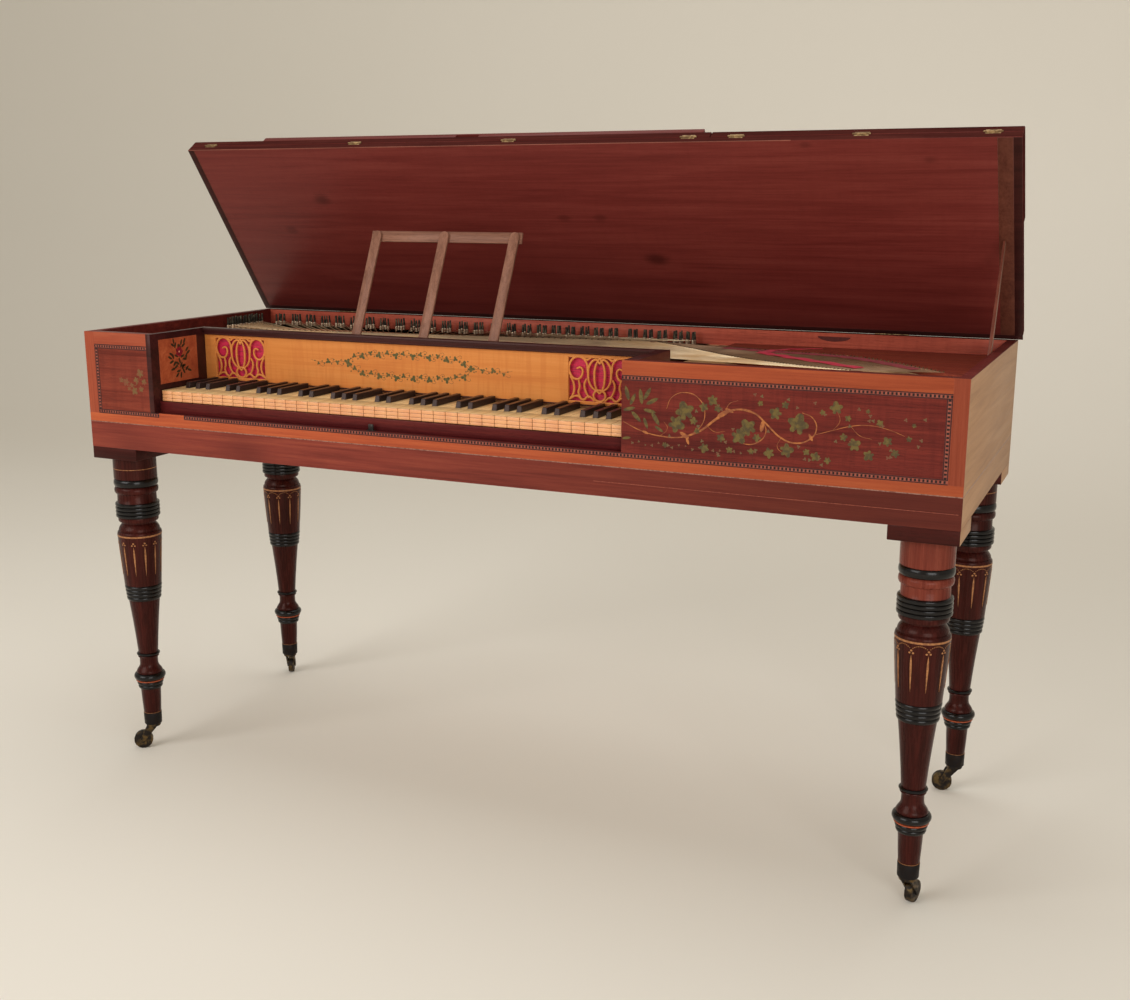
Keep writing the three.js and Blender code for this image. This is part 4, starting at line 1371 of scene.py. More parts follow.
            small.append((1106 + 11 * n, 715 + 3 * math.sin(1.9 * n), chance.uniform(0, 360), 5 - n % 3))
        self.leaves("painted_small_leaves", TREFOIL, [s for s in small if 704 < s[1] < 806], PALE_LEAF)
        willow = [
            (1097, 792, 15, 25), (1106, 783, -25, 22), (1120, 788, 8, 26), (1130, 793, -30, 24),
            (1138, 782, -62, 24), (1100, 768, -75, 22), (1112, 757, -135, 24), (1134, 767, -100, 22),
            (1144, 756, -148, 26), (1128, 748, -160, 20), (1096, 722, -80, 16), (1150, 740, -120, 18),
        ]
        self.leaves("painted_willow", POINTED, willow, LEAF_PAINT, 0.34)


@dataclass
class Keywell:
    """The recess over the keys: cheeks, slip, nameboard with its frets, cap and lock catch."""

    frets: Point = (181.0, 927.0)
    fret_width: float = 114.5
    fret_low: float = 748.0
    fret_high: float = 825.0
    saw_width: float = 3.8
    silk_margin: float = 8.0
    silk_depth: float = 0.0003
    board: Box = field(default_factory=lambda: Box.of("nameboard"))
    cap: Box = field(default_factory=lambda: Box.of("nameboard_cap"))
    face: float = 153.0
    board_depth: float = 7.0
    strip: float = 2.5
    panel: tuple[float, ...] = (22, 128, 749, 831)
    batten: Box = Box(461.5, 782.5, 157.0, 167.7, 787.0, 811.0)
    lean: float = 18.0
    cap_beads: tuple[tuple[str, float], ...] = (("high", 839.2), ("low", 831.4))
    oval: Point = (611.0, 791.0)
    oval_width: float = 126.0
    oval_height: float = 20.3
    oval_leaves: int = 30

    def build(self) -> None:
        """Builds the whole keywell."""
        self.cheeks()
        self.slip_and_catch()
        self.nameboard()
        for name, left in zip(("left", "right"), self.frets):
            self.fret(name, left)
            self.silk(name, left)
        self.garland()

    def cheeks(self) -> None:
        """Builds both cheeks with their veneered and painted panels."""
        dress_node("keywell_cheek_left", 0.8, DARK_WOOD)
        right = dress_node("keywell_cheek_right", 0.8, DARK_WOOD)
        behind = at(0, self.cap.y1 + 1, 0).y
        veneer(right, CHEEK_BACK, lambda middle, normal: middle.y > behind)
        for name, x, side in (("left", self.board.x0, 1), ("right", self.board.x1, -1)):
            span = sorted((x - 0.6 * side, x + 0.35 * side))
            dress(plate(f"cheek_panel_{name}", Box(*span, *self.panel), 0.15, 1), CHEEK_WOOD)
            self.posy(name, Ground(at(x + 0.4 * side, 75, 793), Vector((0, side, 0))))
        post = Box(self.board.x0 - 8.6, self.board.x0 - 6.6, 0.2, 1.5, 699.0, 842.0)
        dress(plate("post_bead", post, 0.9, 3), DARK_WOOD)

    def posy(self, name: str, ground: Ground) -> None:
        """Paints one rose with its leaves on a cheek.

        Args:
            name: The cheek's name.
            ground: The cheek's surface.
        """
        stems = [
            [(0, -32), (3, -14), (2, 6), (8, 26)], [(1, -20), (-12, -8), (-21, 2)],
            [(2, -12), (16, 0), (26, 6)], [(1, -24), (18, -20), (27, -24)], [(2, 4), (-8, 20), (-11, 30)],
        ]
        lines = [stroke(stem, 0.8, 0.1, 0.5) for stem in stems]
        drawn(f"posy_stems_{name}", ground, lines, SPRIG_PAINT, 0.02)
        spots = [
            (-24, 2, 60), (-20, -6, 110), (-16, 4, 20), (-12, -10, 140), (27, 8, -60), (21, 1, -20),
            (16, -4, -100), (28, -26, -110), (21, -22, -50), (12, -26, -150), (4, -33, 170),
            (-6, -32, 130), (-2, -25, 100), (10, -18, -40), (-12, 32, 10), (-15, 25, 60), (-8, 24, -20),
            (9, 28, -20), (14, 22, -60), (5, 20, 30), (18, 30, -30), (-8, -16, 120), (-17, -20, 100),
            (2, -6, 20), (-6, 4, 70), (10, 2, -70), (-3, 12, 40), (8, 8, -50), (0, 20, 0), (-20, 8, 60),
            (24, 14, -50), (6, -14, -30), (-4, -10, 60), (12, -16, -80),
        ]
        places = ground.spots([(*spot, 13) for spot in spots], 0.03)
        dress(copies(f"posy_leaves_{name}", lobed(POINTED, 0.46), places), SPRIG_PAINT)
        petals = [
            ground.spot(2 + 5 * math.cos(t), 11 + 5 * math.sin(t), math.degrees(t) - 90, 11, 0.08 + layer)
            for layer, t in ((LAYER * k, t) for k, t in enumerate(round_steps(5)))
        ]
        dress(copies(f"posy_petals_{name}", lobed(ROUND_LEAF, 0.9), petals), ROSE_PAINT)
        dress(copies(f"posy_bud_{name}", lobed(ROUND_LEAF), [ground.spot(2, 11, 0, 4.4, 0.16)]), BUD_PAINT)

    def slip_and_catch(self) -> None:
        """Builds the key slip and the catch for the fall's lock."""
        dress_node("key_slip", 1.0, SLIP_WOOD)
        middle = (self.board.x0 + self.board.x1) / 2
        foot = plate("catch", Box(middle - 9, middle + 9, 4.2, 10.8, 697.6, 698.6), 0.3)
        loop = plate("loop", Box(middle - 5, middle + 5, 6, 9, 697, 709), 1.2, 3)
        dress(joined("lock_catch", [foot, loop]), IRON)

    def nameboard(self) -> None:
        """Builds the satinwood board with its two openings, dark strip, batten and cap."""
        box, back = self.board, self.face + self.board_depth
        board = plate("dressed_nameboard", replace(box, y0=self.face, y1=back), 0)
        for left in self.frets:
            opening = Box(left, left + self.fret_width, 140, 175, self.fret_low, self.fret_high)
            hole = plate("hole", opening, 0)
            modified(board, "BOOLEAN", object=hole, operation="DIFFERENCE", solver="EXACT")
            bpy.data.objects.remove(hole)
        dress(eased(board, 0.4), SATINWOOD, stands_for=["nameboard"])
        strip = replace(box, y1=self.face + 1, z1=box.z0 + self.strip)
        dress(plate("nameboard_strip", strip, 0.8, 3), DARK_WOOD)
        batten = plate("desk_batten", self.batten, 0)
        middle = (self.batten.z0 + self.batten.z1) / 2
        halfway = at(0, (self.batten.y0 + self.batten.y1) / 2, 0).y
        for corner in batten.data.vertices:
            if corner.co.y > halfway:
                corner.co.y += (corner.co.z - middle * MM) * math.tan(math.radians(self.lean))
        dress(eased(batten, 0.8), DARK_WOOD)
        dress_node("nameboard_cap", 1.6, DARK_WOOD)
        for name, z in self.cap_beads:
            line = Box(box.x0, box.x1, self.cap.y0 - 0.9, self.cap.y0 + 0.5, z, z + 1.8)
            dress(plate(f"cap_bead_{name}", line, 0.6, 3), DARK_WOOD)

    def fret(self, name: str, left: float) -> None:
        """Saws one fret: a lyre between scrolls, mirrored about its middle.

        Args:
            name: The fret's name.
            left: The left side of its opening.
        """
        half, height = self.fret_width / 2, self.fret_high - self.fret_low
        lines = [
            [(0.0, 0.99), (0.13, 0.82), (0.17, 0.55), (0.1, 0.3), (0.0, 0.2)],
            [(0.05, 0.24), (0.28, 0.36), (0.38, 0.62), (0.3, 0.86), (0.1, 0.95), (0.0, 0.86)],
            [
                (0.4, 0.66), (0.46, 0.9), (0.72, 1.0), (0.98, 0.86), (0.97, 0.6),
                (0.76, 0.5), (0.58, 0.6), (0.62, 0.76), (0.76, 0.74),
            ],
            [(0.7, 0.5), (0.66, 0.34), (0.7, 0.2), (0.6, 0.06)],
            [(0.98, 0.56), (0.86, 0.4), (0.86, 0.2), (1.0, 0.04)],
            [(0.17, 0.04), (0.36, 0.13), (0.54, 0.05), (0.74, 0.13), (1.0, 0.05)],
            [(0.34, 0.1), (0.46, 0.24), (0.5, 0.4), (0.43, 0.52)],
            [(0.28, 0.99), (0.44, 0.94), (0.52, 0.99)],
        ]
        made = []
        for hand in (-1, 1):
            for line in lines:
                points = [(hand * u * (half - 1.6), v * height) for u, v in line]
                made.append(stroke(points, self.saw_width, 3.4, 0.3, sawn=True))
        ring = [(11 * math.cos(t), 12 + 9.5 * math.sin(t)) for t in round_steps(8)]
        made.append(stroke(ring, self.saw_width - 0.3, 3.2, closed=True, sawn=True))
        made += [stroke([(-half, v), (half, v)], 2.2, 3.0, sawn=True) for v in (0.6, height - 0.6)]
        drawn(f"fret_{name}", Ground(at(left + half, self.face + 2.6, self.fret_low)), made, FRET_WOOD)

    def silk(self, name: str, left: float) -> None:
        """Stretches silk behind one fret, slightly rippled.

        Args:
            name: The fret's name.
            left: The left side of its opening.
        """
        sheet = primitive("grid", f"silk_{name}", x_subdivisions=64, y_subdivisions=36, size=1)
        width, height = self.fret_width + 2 * self.silk_margin, self.cap.z0 - self.fret_low + 1
        x, y, z = left - self.silk_margin, self.face + self.board_depth + 0.6, self.fret_low - 1
        for corner in sheet.data.vertices:
            u, v = corner.co.x + 0.5, corner.co.y + 0.5
            ripple = 0.22 * math.sin(46 * u + 3 * math.sin(5 * v)) + 0.12 * math.sin(21 * u + 9 * v)
            corner.co = at(x + u * width, y + ripple, z + v * height)
        thickened(sheet, self.silk_depth)
        eased(sheet, 0, smooth=60)
        dress(sheet, SILK, stands_for=["fret_silk"] if name == "left" else [])
        width * MM
        height * MM

    def garland(self) -> None:
        """Paints an oval of ivy with trailing ends on the nameboard."""
        ground = Ground(at(0, self.face - 0.02, 0))
        cx, cz = self.oval
        chance = random.Random(5)

        def squared(share: float, power: float) -> float:
            """Bulges a sine or cosine, so that the oval gets full corners."""
            return math.copysign(abs(share) ** power, share)

        wide, tall = self.oval_width, self.oval_height
        turns = [(math.cos(t), math.sin(t)) for t in round_steps(32, 1)]
        rim = through([(cx + wide * squared(u, 0.7), cz + tall * squared(v, 0.8)) for u, v in turns], 257)
        reach = [0.0]
        for one, two in zip(rim, rim[1:]):
            reach.append(reach[-1] + math.dist(one, two))
        leaves, lines, dots = [], [stroke(rim[:-1:8], 0.7, 0.1, closed=True)], []

        def hang(u: float, v: float, size: float, out: float) -> None:
            """Paints one leaf with its tendril and two buds.

            Args:
                u: The leaf's place across.
                v: Its height.
                size: Its size.
                out: How far the tendril rises, downwards if negative.
            """
            leaves.append((u, v, chance.uniform(0, 360), size))
            curl = [(0, 0), (6, 0.8), (11, 1), (13, 0.4), (10, 0.3)]
            lines.append(stroke([(u + along, v + out * share) for along, share in curl], 0.6, 0.1, 0.5))
            dots.extend((u + side * 8, v - out * 0.9, chance.uniform(0, 360), 3.2) for side in (-1, 1))

        for k in range(self.oval_leaves):
            wanted = reach[-1] * k / self.oval_leaves
            u, v = rim[min(range(257), key=lambda index: abs(reach[index] - wanted))]
            hang(u, v + 2.2 * (-1) ** k, 13 if k % 2 else 9.5, 6.0 * (-1) ** k)
        for hand in (-1, 1):
            start = cx + hand * self.oval_width
            tail = [(start + hand * 21 * k, cz + 2.6 * math.sin(1.9 * k)) for k in range(5)]
            lines.append(stroke(tail, 0.7, 0.1, 0.4))
            for k, (u, v) in enumerate(tail[:4]):
                hang(u + 4 * hand, v + 2.5 * (-1) ** k, (12.5, 9.5, 11, 7)[k], 5.0 * (-1) ** k)
        drawn("garland_tendrils", ground, lines, INK)
        dress(copies("garland_leaves", lobed(TREFOIL), ground.spots(leaves, 0.03)), IVY_PAINT)
        places = [ground.spot(*dot, 0.03) for dot in dots]
        dress(copies("garland_buds", lobed(ROUND_LEAF), places), IVY_PAINT)


@dataclass
class Keyboard:
    """Sixty-eight keys: ivory plates, moulded fronts and ebony caps on the wooden levers."""

    pitch: float = 23.15
    naturals: int = 40
    first_free: int = 18
    names: str = "cdefgab"
    sharps_after: tuple[int, ...] = (0, 1, 2, 4, 5)
    left: float = 159.0
    gap: float = 0.8
    front: float = 21.5
    head: float = 42.0
    top: float = 738.0
    tail_end: float = 160.0
    cap_end: float = 150.7
    cap_slope: float = 3.2
    cap_crown: float = 0.86
    sharp_width: float = 10.0
    sharp_rise: float = 11.0
    beads: tuple[Point, ...] = ((718.7, 724.0), (724.5, 730.8), (731.3, 737.2))

    def has_sharp(self, after: int) -> bool:
        """Says whether a sharp follows this natural."""
        return 0 <= after < self.naturals - 1 and after % 7 in self.sharps_after

    def place_of(self, index: int, sharp: bool = False) -> tuple[str, str]:
        """Gives the body and the node's name of a key.

        Args:
            index: The natural, from the left.
            sharp: Whether the sharp after it is meant.

        Returns:
            The body that the key rides on, and the node that it belongs to.
        """
        step = index - self.first_free
        if 0 <= step < len(self.names) and not (sharp and step == len(self.names) - 1):
            name = f"key_{self.names[step]}" + ("_sharp" if sharp else "")
            return name, name
        return "case", "keys_bass" if index < self.first_free else "keys_treble"

    def build(self) -> None:
        """Builds every key."""
        nodes = [n for n in frame["nodes"] if n.startswith("key_") and n not in ("key_slip", "key_frame")]
        for node in [*nodes, "keys_bass", "keys_treble"]:
            dress_node(node, 0.25, LIMEWOOD, node if node in frame["bodies"] else "case", self.top + 0.1)
        self.fitted("ivory", IVORY, self.ivory)
        self.fitted("front", KEY_FRONT, self.moulding)
        self.fitted("cap", EBONY, self.cap, True)
        dress_node("key_frame", 0.8, DEAL)

    def fitted(self, part: str, finish: Finish, maker: Callable[[int], Piece], sharp: bool = False) -> None:
        """Makes one part for every key and joins those that move together.

        Args:
            part: The part's name.
            finish: Its finish.
            maker: Makes the part of one natural or sharp.
            sharp: Whether the part sits on the sharps.
        """
        groups: dict[tuple[str, str], list[Piece]] = {}
        for index in range(self.naturals):
            if not sharp or self.has_sharp(index):
                groups.setdefault(self.place_of(index, sharp), []).append(maker(index))
        for (body, node), pieces in groups.items():
            dress(joined(f"{node}_{part}", pieces), finish, body)

    def span(self, index: int) -> Point:
        """Gives the left and right side of one natural."""
        left = self.left + index * self.pitch + self.gap / 2
        return left, left + self.pitch - self.gap

    def ivory(self, index: int) -> Piece:
        """Lays the head and tail plates on one natural.

        Args:
            index: The natural, from the left.

        Returns:
            Both plates.
        """
        left, right = self.span(index)
        notch = self.sharp_width / 2 + self.gap / 2
        low, high = self.top - 0.5, self.top + 0.25
        shoulder = self.front + self.head
        head = plate("head", Box(left, right, self.front - 1.2, shoulder - 0.1, low, high), 0.35)
        left += notch if self.has_sharp(index - 1) else 0
        right -= notch if self.has_sharp(index) else 0
        tail = plate("tail", Box(left, right, shoulder + 0.1, self.tail_end, low, high), 0.3)
        return joined("ivory", [head, tail])

    def moulding(self, index: int) -> Piece:
        """Fixes the moulded front of one natural: three beads with grooves between.

        Args:
            index: The natural, from the left.

        Returns:
            The three beads.
        """
        depth = self.front - 1.0, self.front + 0.5
        beads = [plate("bead", Box(*self.span(index), *depth, *levels), 0.6) for levels in self.beads]
        return joined("moulding", beads)

    def cap(self, index: int) -> Piece:
        """Shapes one sharp's ebony cap: tapered, with a sloping front.

        Args:
            index: The natural before it, from the left.

        Returns:
            The cap.
        """
        middle = self.left + (index + 1) * self.pitch
        half, front = self.sharp_width / 2, self.front + self.head + self.gap
        high = self.top + self.sharp_rise
        cap = plate("cap", Box(middle - half, middle + half, front, self.cap_end, self.top - 0.3, high), 0)
        crown = at(middle, front, high)
        for corner in cap.data.vertices:
            if corner.co.z > crown.z - MM:
                corner.co.x = crown.x + (corner.co.x - crown.x) * self.cap_crown
                if corner.co.y < crown.y + MM:
                    corner.co.y += self.cap_slope * MM
        return eased(cap, 0.9, 3)


@dataclass
class Interior:
    """The wrest plank and its pins, soundboard, bridges, strings, rails and cloths."""

    courses: int = 68
    groups: tuple[float, ...] = (
        *(61, 104, 142, 181, 218, 256, 294, 330, 369, 406, 444, 481, 521, 557),
        *(596, 632, 667, 701, 733, 764, 795, 826, 857, 898, 930, 959, 992, 1018),
    )
    group_steps: tuple[tuple[float, int], ...] = ((-9.5, 0), (-8.5, 1), (2.5, 0), (3.5, 1))
    corner_groups: int = 6
    corner_pitch: float = 18.3
    corner_rows: Point = (39, 51)
    plank_back: float = 480.0
    peg_rows: Point = (535.0, 523.0)
    plank_top: float = 812.0
    string_height: float = 821.6
    nut_height: float = 817.6
    coil_height: float = 819.4
    pad: float = 4.0
    board_top: float = 811.0
    block_top: float = 816.0
    wire: float = 0.36
    pair: float = 3.0
    stick_room: float = 9.0
    nut_bar: tuple[Point, Point] = ((45.0, 366.0), (931.0, 493.0))
    nut_half: float = 6.5
    nut_shares: tuple[Point, ...] = ((0.018, 0.655), (0.58, 0.895))
    bridge_shares: tuple[Point, ...] = (
        (0.886, 0.312), (0.81, 0.39), (0.7437, 0.493), (0.67, 0.675), (0.6, 0.845)
    )
    hitch_shares: tuple[Point, ...] = ((0.975, 0.365), (0.86, 0.665), (0.765, 0.72), (0.685, 0.785))

    @staticmethod
    def plan(shares: Line) -> list[Point]:
        """Turns shares of the inside of the case into a smooth line.

        Args:
            shares: Points as shares of the inside's length and depth.

        Returns:
            The line in case millimetres.
        """
        low, high = Box.of("case_left_end").x1, Box.of("case_right_end").x0
        front, back = Box.of("front_rail").y1, Box.of("case_back").y0
        return through([(low + u * (high - low), front + v * (back - front)) for u, v in shares], 81)

    def build(self) -> None:
        """Builds everything inside the case."""
        self.nut, self.bridge, self.hitch = (
            self.plan(shares) for shares in (self.nut_shares, self.bridge_shares, self.hitch_shares)
        )
        dress_node("wrest_plank", 0.6, PLANK_WOOD, cut_above=self.plank_top - 0.05)
        arm = Box(18, 74.5, 341, self.plank_back, self.plank_top - 0.5, self.plank_top + self.pad)
        dress(plate("plank_pad", arm, 0.8), NUT_WOOD)
        self.tuning_pins()
        # The soundboard takes the spruce painted pale as lit.
        dress_node("soundboard", 0.3, LIT_SPRUCE)
        dress_node("bridge", 0.9, BRIDGE_WOOD, cut_above=self.string_height - 0.5)
        self.nut_rail()
        self.strings()
        self.hitch_rail()
        self.listing()
        self.ribbon()
        dress_node("hammer_rail", 0.6, DEAL)

    def pin_spots(self) -> list[tuple[float, float, float]]:
        """Lists the foot of every tuning pin, four to a group.

        Returns:
            Their places in case millimetres.
        """
        spots = [
            (x + dx, self.peg_rows[row], self.plank_top) for x in self.groups for dx, row in self.group_steps
        ]
        for n in range(self.corner_groups):
            y = self.plank_back - (n + 0.5) * self.corner_pitch
            level = self.plank_top + self.pad
            spots += [(self.corner_rows[row], y + dy * 0.7, level) for dy, row in self.group_steps]
        return spots

    def tuning_pins(self) -> None:
        """Sets a flattened iron pin with a coil of wire at every place."""
        chance = random.Random(3)
        pin = turned("pin", [(2.3, 0), (2.5, 0.4), (2.5, 15), (2.3, 19), (2.1, 24.8), (1.4, 25.8)], 8)
        for corner in pin.data.vertices:
            if corner.co.z > 17 * MM:
                corner.co.y *= 0.62
        places = []
        for x, y, z in self.pin_spots():
            lean = Matrix.Rotation(math.radians(chance.uniform(-3, 3)), 4, "X")
            turn = Matrix.Rotation(chance.uniform(-0.8, 0.8), 4, "Z")
            sink = chance.uniform(-2.6, 0)
            places.append(Matrix.Translation(at(x, y, z + sink)) @ lean @ turn)
        rings = [(3.6 if step % 2 else 3.0, 1.2 + 1.0 * step) for step in range(9)]
        coil = turned("coil", [(2.6, 0.8), *rings, (2.6, 10.0)], 8)
        dress(copies("tuning_pins", pin, places), PIN_IRON)
        dress(copies("wire_coils", coil, places), COIL_WIRE)

    def nut_rail(self) -> None:
        """Glues the light wooden nut on the wrest plank."""
        (x0, y0), (x1, y1) = self.nut_bar
        line = [(x0 + (x1 - x0) * step / 24, y0 + (y1 - y0) * step / 24) for step in range(25)]
        near, far = shifted(line, 0, -self.nut_half), shifted(line, 0, self.nut_half)
        bar = sweep("nut_rail", near, far, self.plank_top + 0.2, self.nut_height - 0.5)
        dress(eased(bar, 1.4), NUT_WOOD)

    def strings(self) -> None:
        """Runs two wires for each course from its pins over nut and bridge to the hitch pins."""
        pins = sorted(self.pin_spots())
        heights = (self.nut_height, self.string_height, self.string_height)
        wires = []
        for course in range(self.courses):
            along = 0.03 + 0.94 * course / (self.courses - 1)
            nut, bridge, hitch = (at_share(line, along) for line in (self.nut, self.bridge, self.hitch))
            ahead = (bridge - nut).normalized()
            side = Vector((-ahead.y, ahead.x)) * self.pair / 2
            for hand in (-1, 1):
                crossings = zip((nut, bridge, hitch), heights)
                path = [Vector((*(spot + side * hand), height)) for spot, height in crossings]
                x, y, z = pins[min(2 * course + (hand > 0), len(pins) - 1)]
                if (Vector((x, y)) - nut).length > 8:
                    path.insert(0, Vector((x, y, z + self.coil_height - self.plank_top)))
                wires.append(path)
        # The front lengths take the brighter wire as a painted highlight; the lengths behind the bridge keep
        # the plain wire.
        dress(self.wire_mesh("string_wires_front_lit", [path[:-1] for path in wires]), LIT_WIRE)
        dress(self.wire_mesh("string_wires", [path[-2:] for path in wires]), WIRE, stands_for=["strings"])
        for name, knot in (("nut_pins", -3), ("bridge_pins", -2), ("hitch_pins", -1)):
            stud = turned("stud", [(0.8, -4), (0.8, 1.3), (0.4, 1.9)], 6)
            places = [Matrix.Translation(at(*path[knot])) for path in wires]
            dress(copies(name, stud, places), STUD_BRASS)

    def wire_mesh(self, name: str, paths: Sequence[Sequence[Vector]]) -> Piece:
        """Makes all wires as one piece of thin round bars.

        Args:
            name: The piece's name.
            paths: The points that each wire runs through.

        Returns:
            The piece.
        """
        data = bpy.data.curves.new(name, "CURVE")
        data.dimensions = "3D"
        data.bevel_depth, data.bevel_resolution = self.wire * MM, 1
        data.use_fill_caps = True
        for path in paths:
            spline = data.splines.new("POLY")
            spline.points.add(len(path) - 1)
            for knot, point in zip(spline.points, path):
                knot.co = (*at(*point), 1)
        return named(outward(as_mesh(name, data)), name)

    def hitch_rail(self) -> None:
        """Fills the corner behind the strings with the hitch block and its raised rail."""
        corner, back = Box.of("case_right_end").x0 - 0.5, Box.of("case_back").y0 - 0.5
        line = [(corner, self.hitch[0][1] - 26), *self.hitch[::4]]
        wall = [(x, back) for x, y in line]
        block = sweep("hitch_block", shifted(line, 0, -4), wall, self.board_top, self.block_top)
        dress(eased(block, 0.8), HITCH_WOOD)
        line = [(min(x, corner - self.stick_room), y) for x, y in line]
        low, high = self.block_top - 0.4, self.string_height - 0.5
        rail = sweep("hitch_rail", shifted(line, 0, -5), shifted(line, 0, 22), low, high)
        dress(eased(rail, 1.0), HITCH_WOOD)

    def listing(self) -> None:
        """Weaves the dark red listing cloth through the strings by the hitch pins."""
        near = shifted(self.hitch[6:72:2], -20, -12)
        wave = [0.5 * math.sin(2.4 * index) for index in range(len(near))]
        self.cloth("listing_cloth", near, (5, 10), wave, LISTING)

    def ribbon(self) -> None:
        """Lays the red ribbon, folded to a point, over the strings."""
        wave = [0.6 * math.sin(0.9 * index) for index in range(33)]
        first = through([(1408, 216), (1350, 258), (1290, 298), (1240, 334), (1208, 355)], 33)
        self.cloth("ribbon_front", first, (6, 8), wave, RIBBON, 0.6)
        second = through([(1206, 352), (1214, 392), (1238, 428), (1280, 452)], 25)
        self.cloth("ribbon_back", second, (9, 3), wave[:25], RIBBON, 0.8)

    def cloth(
        self, name: str, line: Line, half: Point, wave: Sequence[float], finish: Cloth, rise: float = 0.0
    ) -> None:
        """Lays a narrow strip of cloth along a line on the strings.

        Args:
            name: The piece's name.
            line: Its middle, in case millimetres.
            half: Half its width, across and in depth.
            wave: How far it rises and falls at each point.
            finish: Its cloth.
            rise: How far it lies above the strings.
        """
        (dx, dy), level = half, self.string_height + 0.9 + rise
        strip = sweep(name, shifted(line, -dx, -dy), shifted(line, dx, dy), level - 0.25, level + 0.25)
        middles = [at(x, y, 0).xy for x, y in line]
        for corner in strip.data.vertices:
            spot = corner.co.xy
            nearest = min(range(len(middles)), key=lambda index: (spot - middles[index]).length)
            corner.co.z += wave[nearest] * MM
        eased(strip, 0, smooth=60)
        dress(strip, finish)


@dataclass
class Stand:
    """Four turned and painted legs with their blocks and casters."""

    corners: tuple[Point, ...] = ((52, 52), (1558, 52), (1558, 514), (52, 514))
    names: tuple[str, ...] = ("front_left", "front_right", "back_right", "back_left")
    foot: float = 52.0
    length: float = 550.0
    drum_top: float = 157.0
    drum_foot: float = 256.0
    drum_wide: float = 41.6
    drum_narrow: float = 34.9
    worn_depth: float = 89.5
    phase: float = 23.4

    def build(self) -> None:
        """Builds the four legs."""
        for name, (x, y) in zip(self.names, self.corners):
            self.leg(name, Matrix.Translation(at(x, y, self.foot)))
            block = dress_node(f"leg_block_{name}", 1.2, BLOCK_WOOD)
            if name.endswith("right"):
                veneer(block, FADED, lambda middle, normal: normal.x > 0.7)
            dress_node(f"caster_fork_{name}", 0.9, CASTER_BRASS, f"fork_{name}")
            dress_node(f"caster_wheel_{name}", 1.2, CASTER_BRASS, f"wheel_{name}")

    def up(self, profile: Line) -> list[Point]:
        """Turns radius and depth under the block into a profile from the foot up."""
        return [(radius, self.length - depth) for radius, depth in reversed(profile)]

    def ring(self, name: str, place: Matrix, profile: Line, finish: Finish) -> None:
        """Adds one turned band of its own colour."""
        dress(moved(turned(name, self.up(profile)), place), finish)

    def leg(self, name: str, place: Matrix) -> None:
        """Turns one leg and paints its bands and darts.

        Args:
            name: The leg's name.
            place: Where the leg stands.
        """
        cup = [(31.4 + 7.2 * math.sin(t * math.pi / 2), 132.5 + 13 * t) for t in (0, 0.2, 0.4, 0.6, 0.8, 1)]
        body = [
            (39.6, 0), (40.5, 1), (40.5, 42.5), (39.6, 43.4), (38, 44), (38, 58),
            *bead(59, 72.5, 37.6, 37.6, 3.6), (36.6, 73.2), (36.8, 90), (37.5, 91), (37.5, 119),
            (37.9, 120), (37.9, 126), (37, 128), (31.2, 129), (31, 132), *cup, (38, 146.4), (38.1, 147.4),
            (40, 148), (41.2, 149.6), (41.6, 152), (self.drum_wide, self.drum_top), (38.3, 206),
            (self.drum_narrow, self.drum_foot), (32.5, 257), (30.5, 287), (29.4, 288), (24.8, 330),
            (21.4, 366), (18.9, 398), (18.6, 399), (18.6, 404), *bead(404.4, 408.6, 17.8, 17.8, 2.6, 4),
            (17.5, 409.4), (17.5, 422), (18.3, 426), (20.4, 430), (23.2, 434), (24.8, 437), (25, 439),
            (24.2, 440.6), (24, 454), (24.8, 455), (24.8, 457.5), (23, 458), (22, 466), (20.5, 472),
            (19.4, 474.4), (18.2, 500), (16.9, 523), (16.4, 525), (16, 549), (15, 550),
        ]
        leg = moved(turned(f"dressed_leg_{name}", self.up(body)), place)
        dress(leg, LEG_WOOD, stands_for=[f"leg_{name}"])
        if name == "front_right":
            worn = at(0, 0, self.foot + self.length - self.worn_depth).z
            veneer(leg, WORN_LEG, lambda middle, normal: middle.z > worn)
        else:
            self.gilt_line(name, "block", place, 22, 23.5, 40.6)
        high = [bead(90.5 + 7.2 * k, 97.7 + 7.2 * k, 39.6, 39.6, 2.1, 4) for k in range(4)]
        low = [
            bead(256.8 + 7.6 * k, 264.4 + 7.6 * k, 33.6 - 0.8 * k, 32.8 - 0.8 * k, 2, 4) for k in range(4)
        ]
        ankle = [(23.4, 457.4), *bead(458.2, 465, 24, 23.4, 1.6, 4), *bead(466, 473, 22.6, 21, 1.8, 4)]
        for band, profile in (
            ("ring_high", bead(43.3, 58.6, 38.2, 38.2, 3.4)),
            ("reeds_high", sum(high, [])),
            ("reeds_low", sum(low, [])),
            ("ring_low", bead(398.6, 404.2, 19, 19, 3.4, 5)),
            ("ring_foot", bead(440.8, 454, 24.6, 24.6, 5.8, 7)),
            ("ring_ankle", ankle),
        ):
            self.ring(f"{band}_{name}", place, profile, BLACK)
        self.ring(f"ferrule_{name}", place, [(17.1, 525.2), (17.4, 526), (16.9, 549), (16.2, 550)], FERRULE)
        self.gilt_line(name, "drum", place, 153.4, 156.9, 41.95)
        self.gilt_line(name, "foot", place, 454.6, 456.8, 27.2, RED_LINE)
        self.gilt_line(name, "ferrule", place, 524.4, 525.2, 17.2)
        self.darts(name, place)

    def gilt_line(
        self,
        name: str,
        band: str,
        place: Matrix,
        low: float,
        high: float,
        radius: float,
        finish: Paint = GILT,
    ) -> None:
        """Gilds a narrow band round a leg."""
        profile = [(radius - 2, low), (radius, low + 0.2), (radius, high - 0.2), (radius - 2, high)]
        self.ring(f"gilt_{band}_{name}", place, profile, finish)

